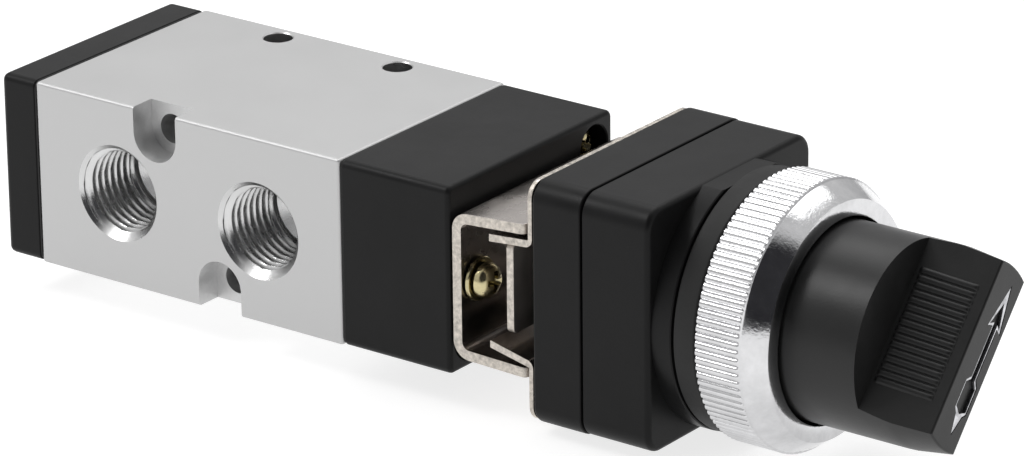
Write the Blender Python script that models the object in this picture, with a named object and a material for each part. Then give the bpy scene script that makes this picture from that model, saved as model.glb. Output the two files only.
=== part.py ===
"""Panel-mount selector valve: a five-port spool valve worked by a selector knob through a panel.

Frame: +X runs along the spool and the knob, from the rear cap to the knob's end face. -Y is the side with
the two threaded working ports, +Y the side with the supply and the two exhausts. +Z is up. The origin is the
centre of the whole assembly. Lengths are in metres.
"""

import math

import bmesh
import bpy
from mathutils import Matrix, Vector

# Joint and seat clearances
GAP = 0.0003
OVERCUT = 0.001

# Overall length and the stack of pieces along X, from the rear
OVERALL_LENGTH = 0.1502
REAR_CAP_LENGTH = 0.0053
CAP_GASKET = 0.0005
BODY_LENGTH = 0.0538
FRONT_CAP_LENGTH = 0.0173
CHANNEL_DEPTH = 0.0121
ANGLE_SHEET = 0.0009
BASE_REAR_LENGTH = 0.0078
BASE_FRONT_LENGTH = 0.0107
COLLAR_LENGTH = 0.0030
PANEL_GASKET = 0.0034
RING_LENGTH = 0.0103

REAR_FACE_X = -OVERALL_LENGTH / 2
KNOB_FACE_X = OVERALL_LENGTH / 2
REAR_GASKET_X = REAR_FACE_X + REAR_CAP_LENGTH + GAP
BODY_REAR_X = REAR_GASKET_X + CAP_GASKET + GAP
BODY_FRONT_X = BODY_REAR_X + BODY_LENGTH
BODY_MID_X = BODY_REAR_X + BODY_LENGTH / 2
FRONT_GASKET_X = BODY_FRONT_X + GAP
FRONT_CAP_X = FRONT_GASKET_X + CAP_GASKET + GAP
CAP_FACE_X = FRONT_CAP_X + FRONT_CAP_LENGTH
CHANNEL_X = CAP_FACE_X + GAP
CHANNEL_TIP_X = CHANNEL_X + CHANNEL_DEPTH
ANGLE_X = CHANNEL_TIP_X + GAP
BASE_REAR_X = ANGLE_X + ANGLE_SHEET + GAP
BASE_FRONT_X = BASE_REAR_X + BASE_REAR_LENGTH + GAP
BASE_FACE_X = BASE_FRONT_X + BASE_FRONT_LENGTH
COLLAR_FACE_X = BASE_FACE_X + COLLAR_LENGTH
PANEL_GASKET_X = COLLAR_FACE_X + GAP
RING_X = PANEL_GASKET_X + PANEL_GASKET + GAP

# Valve body and end caps
BODY_WIDTH = 0.0374
BODY_HEIGHT = 0.0270
BODY_CHAMFER = 0.0004
CAP_CORNER = 0.0011
CAP_ROUND = 0.0006
STEM_GUIDE_BORE = 0.0060
STEM_GUIDE_DEPTH = 0.0110
SPOOL_BORE = 0.0065

# G 1/4 working and supply ports, G 1/8 exhausts
PORT_SPACING = 0.0250
PORT_MINOR = 0.00572
PORT_MOUTH = 0.00705
PORT_DEPTH = 0.0100
PORT_DRILLING = 0.0020
EXHAUST_SPACING = 0.0388
EXHAUST_MINOR = 0.00428
EXHAUST_MOUTH = 0.0053
EXHAUST_DEPTH = 0.0085

# Mounting holes: a diagonal pair along Y in counterbores open to the nearer edge, and a pair along Z
SIDE_HOLE_X = 0.00545
SIDE_HOLE_Z = 0.0099
SIDE_HOLE = 0.00215
COUNTERBORE = 0.00375
COUNTERBORE_DEPTH = 0.0040
TOP_HOLE_X = 0.0107
TOP_HOLE_Y = 0.0152
TOP_HOLE = 0.0021

# Bracket: a channel on the front cap and two angles behind the switch base
CHANNEL_SHEET = 0.0015
CHANNEL_HALF_HEIGHT = 0.01075
CHANNEL_BEND = 0.0026
CHANNEL_NEAR_Y = -0.0184
CHANNEL_FAR_Y = 0.0174
TONGUE_SHEET = 0.0011
TONGUE_HALF_GAP = 0.0078
TONGUE_LENGTH = 0.0070
TONGUE_BEND = 0.0019
ANGLE_HALF_WIDTH = 0.0186
ANGLE_HALF_HEIGHT = 0.0171
STEM_HOLE = 0.0050

# Switch base, neck and ring nut
BASE_WIDTH = 0.0379
BASE_HEIGHT = 0.0348
BASE_CORNER = 0.0030
BASE_ROUND = 0.0008
BASE_DRAFT = 0.0001
COLLAR = 0.0182
COLLAR_FLAT = 0.01715
NECK = 0.0150
NECK_BORE = 0.0141
NECK_FACE_X = RING_X + 0.0084
CAM_CHAMBER = 0.0125
CHAMBER_END_X = BASE_FACE_X + 0.0030
BUSH_BORE = 0.0070
PLUNGER_WALL = 0.0020
NECK_BORE_X = CHAMBER_END_X + 0.0035
RING = 0.0187
RING_BAND = 0.0184
RING_FACE = 0.0164
RING_LIP = 0.0141
RING_LIP_LENGTH = 0.0015
RIM_LENGTH = 0.0071

# Knob
KNOB = 0.0137
KNOB_LENGTH = 0.0240
KNOB_X = KNOB_FACE_X - KNOB_LENGTH
BLADE_LENGTH = 0.0102
BLADE_X = KNOB_FACE_X - BLADE_LENGTH
BLADE_HALF_ROOT = 0.0060
BLADE_HALF_TIP = 0.0036
BLADE_REST_ANGLE = math.radians(-41.5)
TAPER_LENGTH = 0.0060
KNOB_TIP = 0.0131
KNOB_EDGE = 0.0005
RIB_COUNT = 8
RIB_PITCH = 0.0022
RIB_LENGTH = 0.0064
RIB_WIDTH = 0.0009
RIB_PROUD = 0.0002
RIB_START = 0.0010
SOCKET_END = KNOB_LENGTH - 0.0080
KNOB_SCREW_SEAT = KNOB_LENGTH - 0.0040
KNOB_SCREW_HOLE = 0.0015
KNOB_SCREW_POCKET = 0.0027
ARROW_RECESS = 0.0008

# Motion: a quarter turn of the knob pushes the plunger and the spool this far towards the rear
STROKE = 0.0030

# Moving pieces on the axis
STEM = 0.0030
STEM_CLEARANCE = 0.0010
SPOOL_LAND = 0.0062
SPOOL_WAIST = 0.0034
SEAL_GROOVE = 0.0045
LAND_LENGTH = 0.0036
SEAL_WIDTH = 0.0014
PLUNGER = 0.0035
SHAFT = 0.0040
PUSH_PLATE_X = CHANNEL_TIP_X - 0.0037
PUSH_PLATE_SHEET = 0.0012
PUSH_PLATE_HALF_WIDTH = 0.0176
PUSH_PLATE_HALF_HEIGHT = 0.0073
CROSS_PIN = 0.00125
CROSS_PIN_HALF_LENGTH = 0.0108
CROSS_PIN_X = BASE_FRONT_X + 0.0043
CAM = 0.0115
CAM_BORE = 0.0068
CAM_DWELL = math.radians(12)
CAM_WALL_X = CROSS_PIN_X + 0.0065
CAM_FRONT_X = CHAMBER_END_X - 0.0010

# Fasteners
CAP_SCREW_Y = 0.0144
CAP_SCREW_Z = 0.0092
CAP_POCKET = 0.0031
CAP_POCKET_DEPTH = 0.0038
REAR_POCKET_DEPTH = 0.0028
CAP_SCREW_HOLE = 0.0018
CAP_TAPPING = 0.0014
CAP_TAPPING_DEPTH = 0.0090
BRACKET_SCREW_Y = 0.0150
BRACKET_SCREW_HOLE = 0.0017
BRACKET_TAPPING = 0.0016
BRACKET_TAPPING_DEPTH = 0.0100
RIVET_X = CHANNEL_X + 0.0074
RIVET_HOLE = 0.0014
BASE_SCREW_Y = 0.0132
BASE_SCREW_Z = 0.0134
BASE_SCREW_HOLE = 0.0015
BASE_TAPPING_DEPTH = 0.0060

RING_STEPS = 48
TURNED_STEPS = 40
BORE_STEPS = 24
SCREW_STEPS = 12
ROUND_STEPS = 32
SMALL_STEPS = 20
SMOOTH_ANGLE = math.radians(35)


def clear_scene():
    for existing in list(bpy.data.objects):
        bpy.data.objects.remove(existing, do_unlink=True)


def finish_material(name, color, metallic, roughness):
    material = bpy.data.materials.new(name)
    material.use_nodes = True
    shader = material.node_tree.nodes["Principled BSDF"]
    shader.inputs["Base Color"].default_value = (*color, 1.0)
    shader.inputs["Metallic"].default_value = metallic
    shader.inputs["Roughness"].default_value = roughness
    return material


def axis_empty(name, parent=None):
    """An empty on the spool and knob axis, which carries one rigid body."""
    empty = bpy.data.objects.new(name, None)
    bpy.context.scene.collection.objects.link(empty)
    empty.parent = parent
    return empty


def add_object(name, form, material=None, parent=None, at=(0, 0, 0), turn=None):
    """Makes an object of a bmesh, at a place, turned by a rotation matrix."""
    bmesh.ops.recalc_face_normals(form, faces=form.faces)
    mesh = bpy.data.meshes.new(name)
    form.to_mesh(mesh)
    form.free()
    mesh.shade_smooth()
    mesh.set_sharp_from_angle(angle=SMOOTH_ANGLE)
    if material:
        mesh.materials.append(material)
    piece = bpy.data.objects.new(name, mesh)
    bpy.context.scene.collection.objects.link(piece)
    piece.matrix_world = Matrix.Translation(at) @ (turn or Matrix()).to_4x4()
    piece.parent = parent
    return piece


def turned_form(profile, steps=ROUND_STEPS):
    """A solid turned about local X, from (x, radius) points that close unless both ends are on the axis."""
    form = bmesh.new()
    points = [form.verts.new((x, 0, radius)) for x, radius in profile]
    pairs = list(zip(points, points[1:]))
    if profile[0][1] or profile[-1][1]:
        pairs.append((points[-1], points[0]))
    edges = [form.edges.new(pair) for pair in pairs]
    bmesh.ops.spin(
        form,
        geom=points + edges,
        cent=(0, 0, 0),
        axis=(1, 0, 0),
        angle=math.tau,
        steps=steps,
        use_merge=True,
    )
    bmesh.ops.remove_doubles(form, verts=form.verts, dist=1e-7)
    return form


def box_form(low, high):
    """A box between two corners."""
    form = bmesh.new()
    low, high = Vector(low), Vector(high)
    place = Matrix.Translation((low + high) / 2) @ Matrix.Diagonal((*(high - low), 1))
    bmesh.ops.create_cube(form, size=1, matrix=place)
    return form


def trim_plane(form, point, outwards):
    """Cuts away what lies beyond a plane, and closes the cut."""
    everything = form.verts[:] + form.edges[:] + form.faces[:]
    trimmed = bmesh.ops.bisect_plane(
        form, geom=everything, plane_co=point, plane_no=outwards, clear_outer=True
    )
    edges = [item for item in trimmed["geom_cut"] if isinstance(item, bmesh.types.BMEdge)]
    bmesh.ops.contextual_create(form, geom=edges)


def edges_along(form, axis):
    other = [i for i in range(3) if i != axis]

    def runs_along(edge):
        span = edge.verts[1].co - edge.verts[0].co
        return all(abs(span[i]) < 1e-7 for i in other)

    return [edge for edge in form.edges if runs_along(edge)]


def rounded_box_form(low, high, corner, axis=0, segments=5):
    """A box whose four edges along one axis are rounded."""
    form = box_form(low, high)
    bmesh.ops.bevel(
        form,
        geom=edges_along(form, axis),
        offset=corner,
        segments=segments,
        profile=0.5,
        affect="EDGES",
    )
    return form


def extruded_form(outline, low_y, high_y):
    """An outline of (x, z) points drawn out along Y."""
    form = bmesh.new()
    face = form.faces.new([form.verts.new((x, low_y, z)) for x, z in outline])
    drawn = bmesh.ops.extrude_face_region(form, geom=[face])
    moved = [item for item in drawn["geom"] if isinstance(item, bmesh.types.BMVert)]
    bmesh.ops.translate(form, verts=moved, vec=(0, high_y - low_y, 0))
    return form


def arc(centre_x, centre_z, radius, start, end, steps=5):
    """Points from one angle to another, in degrees, anticlockwise from +X towards +Z."""
    angles = [math.radians(start + (end - start) * i / steps) for i in range(steps + 1)]
    return [(centre_x + radius * math.cos(a), centre_z + radius * math.sin(a)) for a in angles]


def soften(piece, width, segments=1):
    bevel = piece.modifiers.new("edges", "BEVEL")
    bevel.width = width
    bevel.segments = segments
    bevel.limit_method = "ANGLE"
    bevel.angle_limit = math.radians(40)


def cut(piece, cutter, operation="DIFFERENCE"):
    """Takes a cutter from a piece, or joins it on, and hides the cutter."""
    cutter.hide_render = True
    cutter.display_type = "WIRE"
    boolean = piece.modifiers.new(cutter.name, "BOOLEAN")
    boolean.operation = operation
    boolean.solver = "EXACT"
    boolean.object = cutter


def drill(piece, name, profile, at, turn=None, steps=SMALL_STEPS):
    """Cuts a turned hole, whose profile runs inwards from its mouth along local X."""
    cut(piece, add_object(name, turned_form(profile, steps), at=at, turn=turn))


def through(radius, length):
    """The profile of a plain hole that starts just outside its mouth."""
    return [(-OVERCUT, 0), (-OVERCUT, radius), (length + OVERCUT, radius), (length + OVERCUT, 0)]


def stepped(radius, depth, shank, length):
    """The profile of a counterbore with a smaller hole below it."""
    return [(-OVERCUT, 0), (-OVERCUT, radius), (depth, radius), (depth, shank), (length, shank), (length, 0)]


def turn_y_to_x(sign):
    """Turns local X to point along +Y or -Y."""
    return Matrix.Rotation(sign * math.pi / 2, 3, "Z")


def turn_z_to_x(sign):
    """Turns local X to point along +Z or -Z."""
    return Matrix.Rotation(-sign * math.pi / 2, 3, "Y")


def turn_back():
    """Turns local X to point along -X."""
    return Matrix.Rotation(math.pi, 3, "Z")


def port_profile(mouth, minor, depth):
    """A tapping-size hole with a chamfered mouth, a drill point and a small drilling on to the spool bore."""
    chamfer = mouth - minor
    reach = BODY_WIDTH / 2 - SPOOL_BORE / 2
    return [
        (-OVERCUT, 0),
        (-OVERCUT, mouth + OVERCUT),
        (chamfer, minor),
        (depth, minor),
        (depth + (minor - PORT_DRILLING) / 2, PORT_DRILLING),
        (reach, PORT_DRILLING),
        (reach, 0),
    ]


def build_valve_body(material, parent):
    half_y, half_z = BODY_WIDTH / 2, BODY_HEIGHT / 2
    form = box_form((BODY_REAR_X, -half_y, -half_z), (BODY_FRONT_X, half_y, half_z))
    body = add_object("valve_body", form, material, parent)
    soften(body, BODY_CHAMFER)
    hole = through(SPOOL_BORE, BODY_LENGTH)
    drill(body, "cut_spool_bore", hole, (BODY_REAR_X, 0, 0), steps=BORE_STEPS)
    working = port_profile(PORT_MOUTH, PORT_MINOR, PORT_DEPTH)
    exhaust = port_profile(EXHAUST_MOUTH, EXHAUST_MINOR, EXHAUST_DEPTH)
    for number, sign in ((4, -1), (2, 1)):
        place = (BODY_MID_X + sign * PORT_SPACING / 2, -half_y, 0)
        drill(body, f"cut_port_{number}", working, place, turn_y_to_x(1), BORE_STEPS)
    drill(body, "cut_port_1", working, (BODY_MID_X, half_y, 0), turn_y_to_x(-1), BORE_STEPS)
    for number, sign in ((5, -1), (3, 1)):
        place = (BODY_MID_X + sign * EXHAUST_SPACING / 2, half_y, 0)
        drill(body, f"cut_port_{number}", exhaust, place, turn_y_to_x(-1), BORE_STEPS)
    for sign in (-1, 1):
        side_place = (BODY_MID_X + sign * SIDE_HOLE_X, -half_y, -sign * SIDE_HOLE_Z)
        side_hole = stepped(COUNTERBORE, COUNTERBORE_DEPTH, SIDE_HOLE, BODY_WIDTH + OVERCUT)
        drill(body, f"cut_side_hole_{sign + 2}", side_hole, side_place, turn_y_to_x(1), BORE_STEPS)
        x, _, z = side_place
        z_range = sorted((z, -sign * (half_z + OVERCUT)))
        low = (x - COUNTERBORE, -half_y - OVERCUT, z_range[0])
        high = (x + COUNTERBORE, COUNTERBORE_DEPTH - half_y, z_range[1])
        cut(body, add_object(f"cut_side_notch_{sign + 2}", box_form(low, high)))
        top_place = (BODY_MID_X + sign * TOP_HOLE_X, TOP_HOLE_Y, -half_z)
        hole = through(TOP_HOLE, BODY_HEIGHT)
        drill(body, f"cut_top_hole_{sign + 2}", hole, top_place, turn_z_to_x(1))
    for end, x, turn in (("rear", BODY_REAR_X, None), ("front", BODY_FRONT_X, turn_back())):
        for sign in (-1, 1):
            place = (x, sign * CAP_SCREW_Y, sign * CAP_SCREW_Z)
            hole = through(CAP_TAPPING, CAP_TAPPING_DEPTH)
            drill(body, f"cut_{end}_tapping_{sign + 2}", hole, place, turn, SCREW_STEPS)
    return body


def build_cap_gasket(name, x, material, parent):
    half_y, half_z = BODY_WIDTH / 2 - 0.0003, BODY_HEIGHT / 2 - 0.0003
    form = rounded_box_form((x, -half_y, -half_z), (x + CAP_GASKET, half_y, half_z), CAP_CORNER, segments=3)
    gasket = add_object(name, form, material, parent)
    hole = through(SPOOL_BORE + GAP, CAP_GASKET)
    drill(gasket, f"cut_{name}_bore", hole, (x, 0, 0), steps=BORE_STEPS)
    for sign in (-1, 1):
        place = (x, sign * CAP_SCREW_Y, sign * CAP_SCREW_Z)
        hole = through(CAP_SCREW_HOLE, CAP_GASKET)
        drill(gasket, f"cut_{name}_screw_{sign + 2}", hole, place, steps=SCREW_STEPS)
    return gasket


def build_rear_cap(material, parent):
    half_y, half_z = BODY_WIDTH / 2, BODY_HEIGHT / 2
    high = (REAR_FACE_X + REAR_CAP_LENGTH, half_y, half_z)
    form = rounded_box_form((REAR_FACE_X, -half_y, -half_z), high, CAP_CORNER, segments=3)
    cap = add_object("rear_cap", form, material, parent)
    soften(cap, CAP_ROUND, 2)
    seat = [(-OVERCUT, 0), (-OVERCUT, 0.0050), (0.0020, 0.0050), (0.0020, 0)]
    drill(cap, "cut_spring_seat", seat, (REAR_FACE_X + REAR_CAP_LENGTH, 0, 0), turn_back(), BORE_STEPS)
    for sign in (-1, 1):
        place = (REAR_FACE_X, sign * CAP_SCREW_Y, sign * CAP_SCREW_Z)
        hole = stepped(CAP_POCKET, REAR_POCKET_DEPTH, CAP_SCREW_HOLE, REAR_CAP_LENGTH + OVERCUT)
        drill(cap, f"cut_rear_screw_{sign + 2}", hole, place)
    return cap


def build_front_cap(material, parent):
    """A long cap with a bore for the stem bush and seal and a pocket for each cap screw."""
    half_y, half_z = BODY_WIDTH / 2, BODY_HEIGHT / 2
    low, high = (FRONT_CAP_X, -half_y, -half_z), (CAP_FACE_X, half_y, half_z)
    form = rounded_box_form(low, high, CAP_CORNER, segments=3)
    cap = add_object("front_cap", form, material, parent)
    soften(cap, CAP_ROUND, 2)
    bore = stepped(STEM_GUIDE_BORE, STEM_GUIDE_DEPTH, STEM + STEM_CLEARANCE, FRONT_CAP_LENGTH + OVERCUT)
    drill(cap, "cut_bush_bore", bore, (FRONT_CAP_X, 0, 0), steps=BORE_STEPS)
    for sign in (-1, 1):
        pocket = stepped(CAP_POCKET, CAP_POCKET_DEPTH, CAP_SCREW_HOLE, FRONT_CAP_LENGTH + OVERCUT)
        place = (CAP_FACE_X, sign * CAP_SCREW_Y, sign * CAP_SCREW_Z)
        drill(cap, f"cut_front_screw_{sign + 2}", pocket, place, turn_back())
        place = (CAP_FACE_X, sign * BRACKET_SCREW_Y, 0)
        hole = through(BRACKET_TAPPING, BRACKET_TAPPING_DEPTH)
        drill(cap, f"cut_bracket_tapping_{sign + 2}", hole, place, turn_back(), SCREW_STEPS)
    return cap


def build_channel(material, parent):
    """A U of sheet: a web on the front cap and two flanges that reach to the switch base."""
    x, tip, top, bend = CHANNEL_X, CHANNEL_TIP_X, CHANNEL_HALF_HEIGHT, CHANNEL_BEND
    inner = bend - CHANNEL_SHEET
    floor = top - CHANNEL_SHEET
    outer_side = arc(x + bend, top - bend, bend, 90, 180) + arc(x + bend, bend - top, bend, 180, 270)
    inner_side = arc(x + bend, bend - top, inner, 270, 180) + arc(x + bend, top - bend, inner, 180, 90)
    outline = [(tip, top)] + outer_side + [(tip, -top), (tip, -floor)] + inner_side + [(tip, floor)]
    channel = add_object(
        "bracket_channel", extruded_form(outline, CHANNEL_NEAR_Y, CHANNEL_FAR_Y), material, parent
    )
    drill(channel, "cut_stem_hole", through(STEM_HOLE, CHANNEL_SHEET), (x, 0, 0))
    for sign in (-1, 1):
        place = (x, sign * BRACKET_SCREW_Y, 0)
        hole = through(BRACKET_SCREW_HOLE, CHANNEL_SHEET)
        drill(channel, f"cut_channel_screw_{sign + 2}", hole, place, steps=SCREW_STEPS)
        place = (RIVET_X, 0, sign * floor)
        hole = through(RIVET_HOLE, CHANNEL_SHEET)
        drill(channel, f"cut_rivet_{sign + 2}", hole, place, turn_z_to_x(sign), SCREW_STEPS)
    return channel


def build_angle(name, sign, material, parent):
    """A sheet angle: a leg behind the switch base and a tongue bent back inside the channel's flange."""
    back, bend = ANGLE_X + ANGLE_SHEET, TONGUE_BEND
    leg_root = TONGUE_HALF_GAP + bend
    tip = back - TONGUE_LENGTH
    outer_radius = bend - ANGLE_SHEET
    outline = (
        [(tip, TONGUE_HALF_GAP), (tip, TONGUE_HALF_GAP + TONGUE_SHEET)]
        + arc(back - bend, leg_root, outer_radius, 270, 360)
        + [(ANGLE_X, ANGLE_HALF_HEIGHT), (back, ANGLE_HALF_HEIGHT)]
        + arc(back - bend, leg_root, bend, 0, -90)
    )
    form = extruded_form([(x, sign * z) for x, z in outline], -ANGLE_HALF_WIDTH, ANGLE_HALF_WIDTH)

    def is_outer_corner(edge):
        return all(sign * vert.co.z > ANGLE_HALF_HEIGHT - 1e-6 for vert in edge.verts)

    corners = [edge for edge in edges_along(form, 0) if is_outer_corner(edge)]
    bmesh.ops.bevel(form, geom=corners, offset=BASE_CORNER - 0.0006, segments=4, profile=0.5, affect="EDGES")
    angle = add_object(name, form, material, parent)
    for side in (-1, 1):
        place = (ANGLE_X, side * BASE_SCREW_Y, sign * BASE_SCREW_Z)
        hole = through(BASE_SCREW_HOLE, ANGLE_SHEET)
        drill(angle, f"cut_{name}_screw_{side + 2}", hole, place, steps=SCREW_STEPS)
    place = (RIVET_X, 0, sign * TONGUE_HALF_GAP)
    hole = through(RIVET_HOLE, TONGUE_SHEET)
    drill(angle, f"cut_{name}_rivet", hole, place, turn_z_to_x(sign), SCREW_STEPS)
    return angle


def base_block_form(x, length, draft):
    """One layer of the switch base, a little smaller at its front."""
    half_y, half_z = BASE_WIDTH / 2 - draft, BASE_HEIGHT / 2 - draft
    form = rounded_box_form((x, -half_y, -half_z), (x + length, half_y, half_z), BASE_CORNER)
    shrink = Matrix.Diagonal((1, 1 - BASE_DRAFT / half_y, 1 - BASE_DRAFT / half_z, 1))
    front = [vert for vert in form.verts if vert.co.x > x + length / 2]
    bmesh.ops.transform(form, matrix=shrink, verts=front)
    return form


def build_base_rear(material, parent):
    rear = add_object("base_rear", base_block_form(BASE_REAR_X, BASE_REAR_LENGTH, 0), material, parent)
    soften(rear, 0.0005)
    bore = stepped(PLUNGER + GAP, PLUNGER_WALL, BUSH_BORE, BASE_REAR_LENGTH + OVERCUT)
    drill(rear, "cut_plunger_bore", bore, (BASE_REAR_X, 0, 0), steps=BORE_STEPS)
    for side in (-1, 1):
        for sign in (-1, 1):
            place = (BASE_REAR_X, side * BASE_SCREW_Y, sign * BASE_SCREW_Z)
            name = f"cut_base_rear_screw_{side + 2}_{sign + 2}"
            drill(rear, name, through(BASE_SCREW_HOLE, BASE_REAR_LENGTH), place, steps=SCREW_STEPS)
    return rear


def build_base_front(material, parent):
    """The front layer with its collar, the round neck the ring nut screws on, and the cam chamber."""
    form = base_block_form(BASE_FRONT_X, BASE_FRONT_LENGTH, BASE_DRAFT)
    front = add_object("base_front", form, material, parent)
    soften(front, BASE_ROUND, 2)
    start = BASE_FACE_X - 0.0020
    profile = [
        (start, 0),
        (start, COLLAR - 0.0012),
        (BASE_FACE_X - 0.0003, COLLAR - 0.0012),
        (BASE_FACE_X + 0.0004, COLLAR - 0.0003),
        (BASE_FACE_X + 0.0012, COLLAR),
        (COLLAR_FACE_X, COLLAR),
        (COLLAR_FACE_X, NECK),
        (NECK_FACE_X - 0.0005, NECK),
        (NECK_FACE_X, NECK - 0.0005),
        (NECK_FACE_X, 0),
    ]
    neck = turned_form(profile, TURNED_STEPS)
    for sign in (-1, 1):
        trim_plane(neck, (0, 0, sign * COLLAR_FLAT), (0, 0, sign))
    cut(front, add_object("join_neck", neck), "UNION")
    inside = [
        (BASE_FRONT_X - OVERCUT, 0),
        (BASE_FRONT_X - OVERCUT, CAM_CHAMBER),
        (CHAMBER_END_X, CAM_CHAMBER),
        (CHAMBER_END_X, BUSH_BORE),
        (NECK_BORE_X, BUSH_BORE),
        (NECK_BORE_X, NECK_BORE),
        (NECK_FACE_X + OVERCUT, NECK_BORE),
        (NECK_FACE_X + OVERCUT, 0),
    ]
    cut(front, add_object("cut_neck_bore", turned_form(inside, TURNED_STEPS)))
    for side in (-1, 1):
        for sign in (-1, 1):
            place = (BASE_FRONT_X, side * BASE_SCREW_Y, sign * BASE_SCREW_Z)
            name = f"cut_base_front_tapping_{side + 2}_{sign + 2}"
            drill(front, name, through(BASE_SCREW_HOLE, BASE_TAPPING_DEPTH), place, steps=SCREW_STEPS)
    return front


def build_panel_gasket(material, parent):
    inner, outer = NECK + GAP, COLLAR - 0.0001
    profile = [(0, inner), (PANEL_GASKET, inner), (PANEL_GASKET, outer), (0, outer)]
    form = turned_form(profile, RING_STEPS)
    return add_object("panel_gasket", form, material, parent, (PANEL_GASKET_X, 0, 0))


def build_ring_nut(material, parent):
    """A nut with a grip rim, a coned band and a flat face, whose inner lip reaches in front of the neck."""
    inner = NECK + GAP
    lip_x = RING_LENGTH - RING_LIP_LENGTH
    profile = [
        (0, inner),
        (0, RING - 0.0003),
        (0.0003, RING),
        (RIM_LENGTH, RING),
        (RIM_LENGTH + 0.0002, RING_BAND),
        (RING_LENGTH - 0.0002, RING_FACE),
        (RING_LENGTH, RING_FACE - 0.0002),
        (RING_LENGTH, RING_LIP),
        (lip_x, RING_LIP),
        (lip_x, inner),
    ]
    return add_object("ring_nut", turned_form(profile, RING_STEPS), material, parent, (RING_X, 0, 0))


def blade_side_form(side):
    """The wedge that a cut takes from one side of the knob, to leave one face of the blade."""
    clear = KNOB + 0.0020
    outline = [
        (BLADE_X, BLADE_HALF_ROOT),
        (BLADE_X, clear),
        (KNOB_FACE_X + OVERCUT, clear),
        (KNOB_FACE_X + OVERCUT, BLADE_HALF_TIP - OVERCUT * (BLADE_HALF_ROOT - BLADE_HALF_TIP) / BLADE_LENGTH),
    ]
    return extruded_form([(x, side * z) for x, z in outline], -clear, clear)


def build_knob(material, parent):
    """A round knob with a flat grip blade across its end, ribbed on both sides."""
    blade_turn = Matrix.Rotation(BLADE_REST_ANGLE + math.pi / 2, 3, "X")
    profile = [
        (KNOB_X, 0),
        (KNOB_X, KNOB),
        (KNOB_FACE_X - TAPER_LENGTH, KNOB),
        (KNOB_FACE_X - KNOB_EDGE, KNOB_TIP),
        (KNOB_FACE_X, KNOB_TIP - KNOB_EDGE),
        (KNOB_FACE_X, 0),
    ]
    knob = add_object("knob", turned_form(profile, RING_STEPS), material, parent)
    for side in (-1, 1):
        cut(knob, add_object(f"cut_blade_{side + 2}", blade_side_form(side), turn=blade_turn))
    slope = math.atan2(BLADE_HALF_ROOT - BLADE_HALF_TIP, BLADE_LENGTH)
    for side in (-1, 1):
        for index in range(RIB_COUNT):
            along = (index - (RIB_COUNT - 1) / 2) * RIB_PITCH
            form = box_form((0, -RIB_WIDTH / 2, -0.0005), (RIB_LENGTH, RIB_WIDTH / 2, RIB_PROUD))
            lean = Matrix.Rotation(slope, 3, "Y")
            flip = Matrix.Rotation(0 if side > 0 else math.pi, 3, "X")
            start_x = BLADE_X + RIB_START
            start_z = BLADE_HALF_ROOT - RIB_START * math.tan(slope)
            place = blade_turn @ flip @ Vector((start_x, along, start_z))
            rib = add_object(f"join_rib_{side + 2}_{index}", form, at=place, turn=blade_turn @ flip @ lean)
            cut(knob, rib, "UNION")
    socket = [
        (-OVERCUT, 0),
        (-OVERCUT, SHAFT + GAP),
        (SOCKET_END, SHAFT + GAP),
        (SOCKET_END, KNOB_SCREW_HOLE),
        (KNOB_SCREW_SEAT, KNOB_SCREW_HOLE),
        (KNOB_SCREW_SEAT, KNOB_SCREW_POCKET),
        (KNOB_LENGTH + OVERCUT, KNOB_SCREW_POCKET),
        (KNOB_LENGTH + OVERCUT, 0),
    ]
    drill(knob, "cut_knob_socket", socket, (KNOB_X, 0, 0), steps=BORE_STEPS)
    recess = box_form((KNOB_FACE_X - ARROW_RECESS, -0.0110, -0.0024), (KNOB_FACE_X + OVERCUT, 0.0110, 0.0024))
    cut(knob, add_object("cut_arrow_recess", recess, turn=blade_turn))
    return knob


def build_knob_arrow(material, parent):
    """A flat double-ended pointer set in the knob's end face."""
    half_length, half_width, waist = 0.0106, 0.0021, 0.0007
    half = [
        (half_length, 0.0002),
        (0.0048, half_width),
        (0.0034, half_width),
        (0.0034, waist),
        (-0.0034, waist),
        (-0.0034, 0.0015),
        (-0.0070, 0.0015),
        (-half_length, 0.0002),
    ]
    outline = half + [(along, -across) for along, across in reversed(half)]
    form = bmesh.new()
    corners = [form.verts.new((KNOB_FACE_X - 0.0005, along, across)) for along, across in outline]
    face = form.faces.new(corners)
    drawn = bmesh.ops.extrude_face_region(form, geom=[face])
    moved = [item for item in drawn["geom"] if isinstance(item, bmesh.types.BMVert)]
    bmesh.ops.translate(form, verts=moved, vec=(0.0004, 0, 0))
    blade_turn = Matrix.Rotation(BLADE_REST_ANGLE + math.pi / 2, 3, "X")
    return add_object("knob_arrow", form, material, parent, turn=blade_turn)


def build_knob_screw(material, parent):
    head_x = KNOB_X + KNOB_SCREW_SEAT + GAP
    profile = [
        (head_x - 0.0060, 0),
        (head_x - 0.0060, 0.0011),
        (head_x, 0.0011),
        (head_x, 0.0023),
        (head_x + 0.0014, 0.0023),
        (head_x + 0.0020, 0.0016),
        (head_x + 0.0020, 0),
    ]
    return add_object("knob_screw", turned_form(profile, 16), material, parent)


def build_selector_shaft(material, parent):
    """The shaft that joins the knob to the cam drum, drilled for the knob screw."""
    start = CAM_WALL_X - 0.0012
    end = KNOB_X + SOCKET_END - GAP
    profile = [
        (start, 0),
        (start, 0.0055),
        (CAM_WALL_X - GAP, 0.0055),
        (CAM_WALL_X - GAP, SHAFT),
        (end, SHAFT),
        (end, 0.0014),
        (end - 0.0040, 0.0014),
        (end - 0.0040, 0),
    ]
    return add_object("selector_shaft", turned_form(profile, 24), material, parent)


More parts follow.
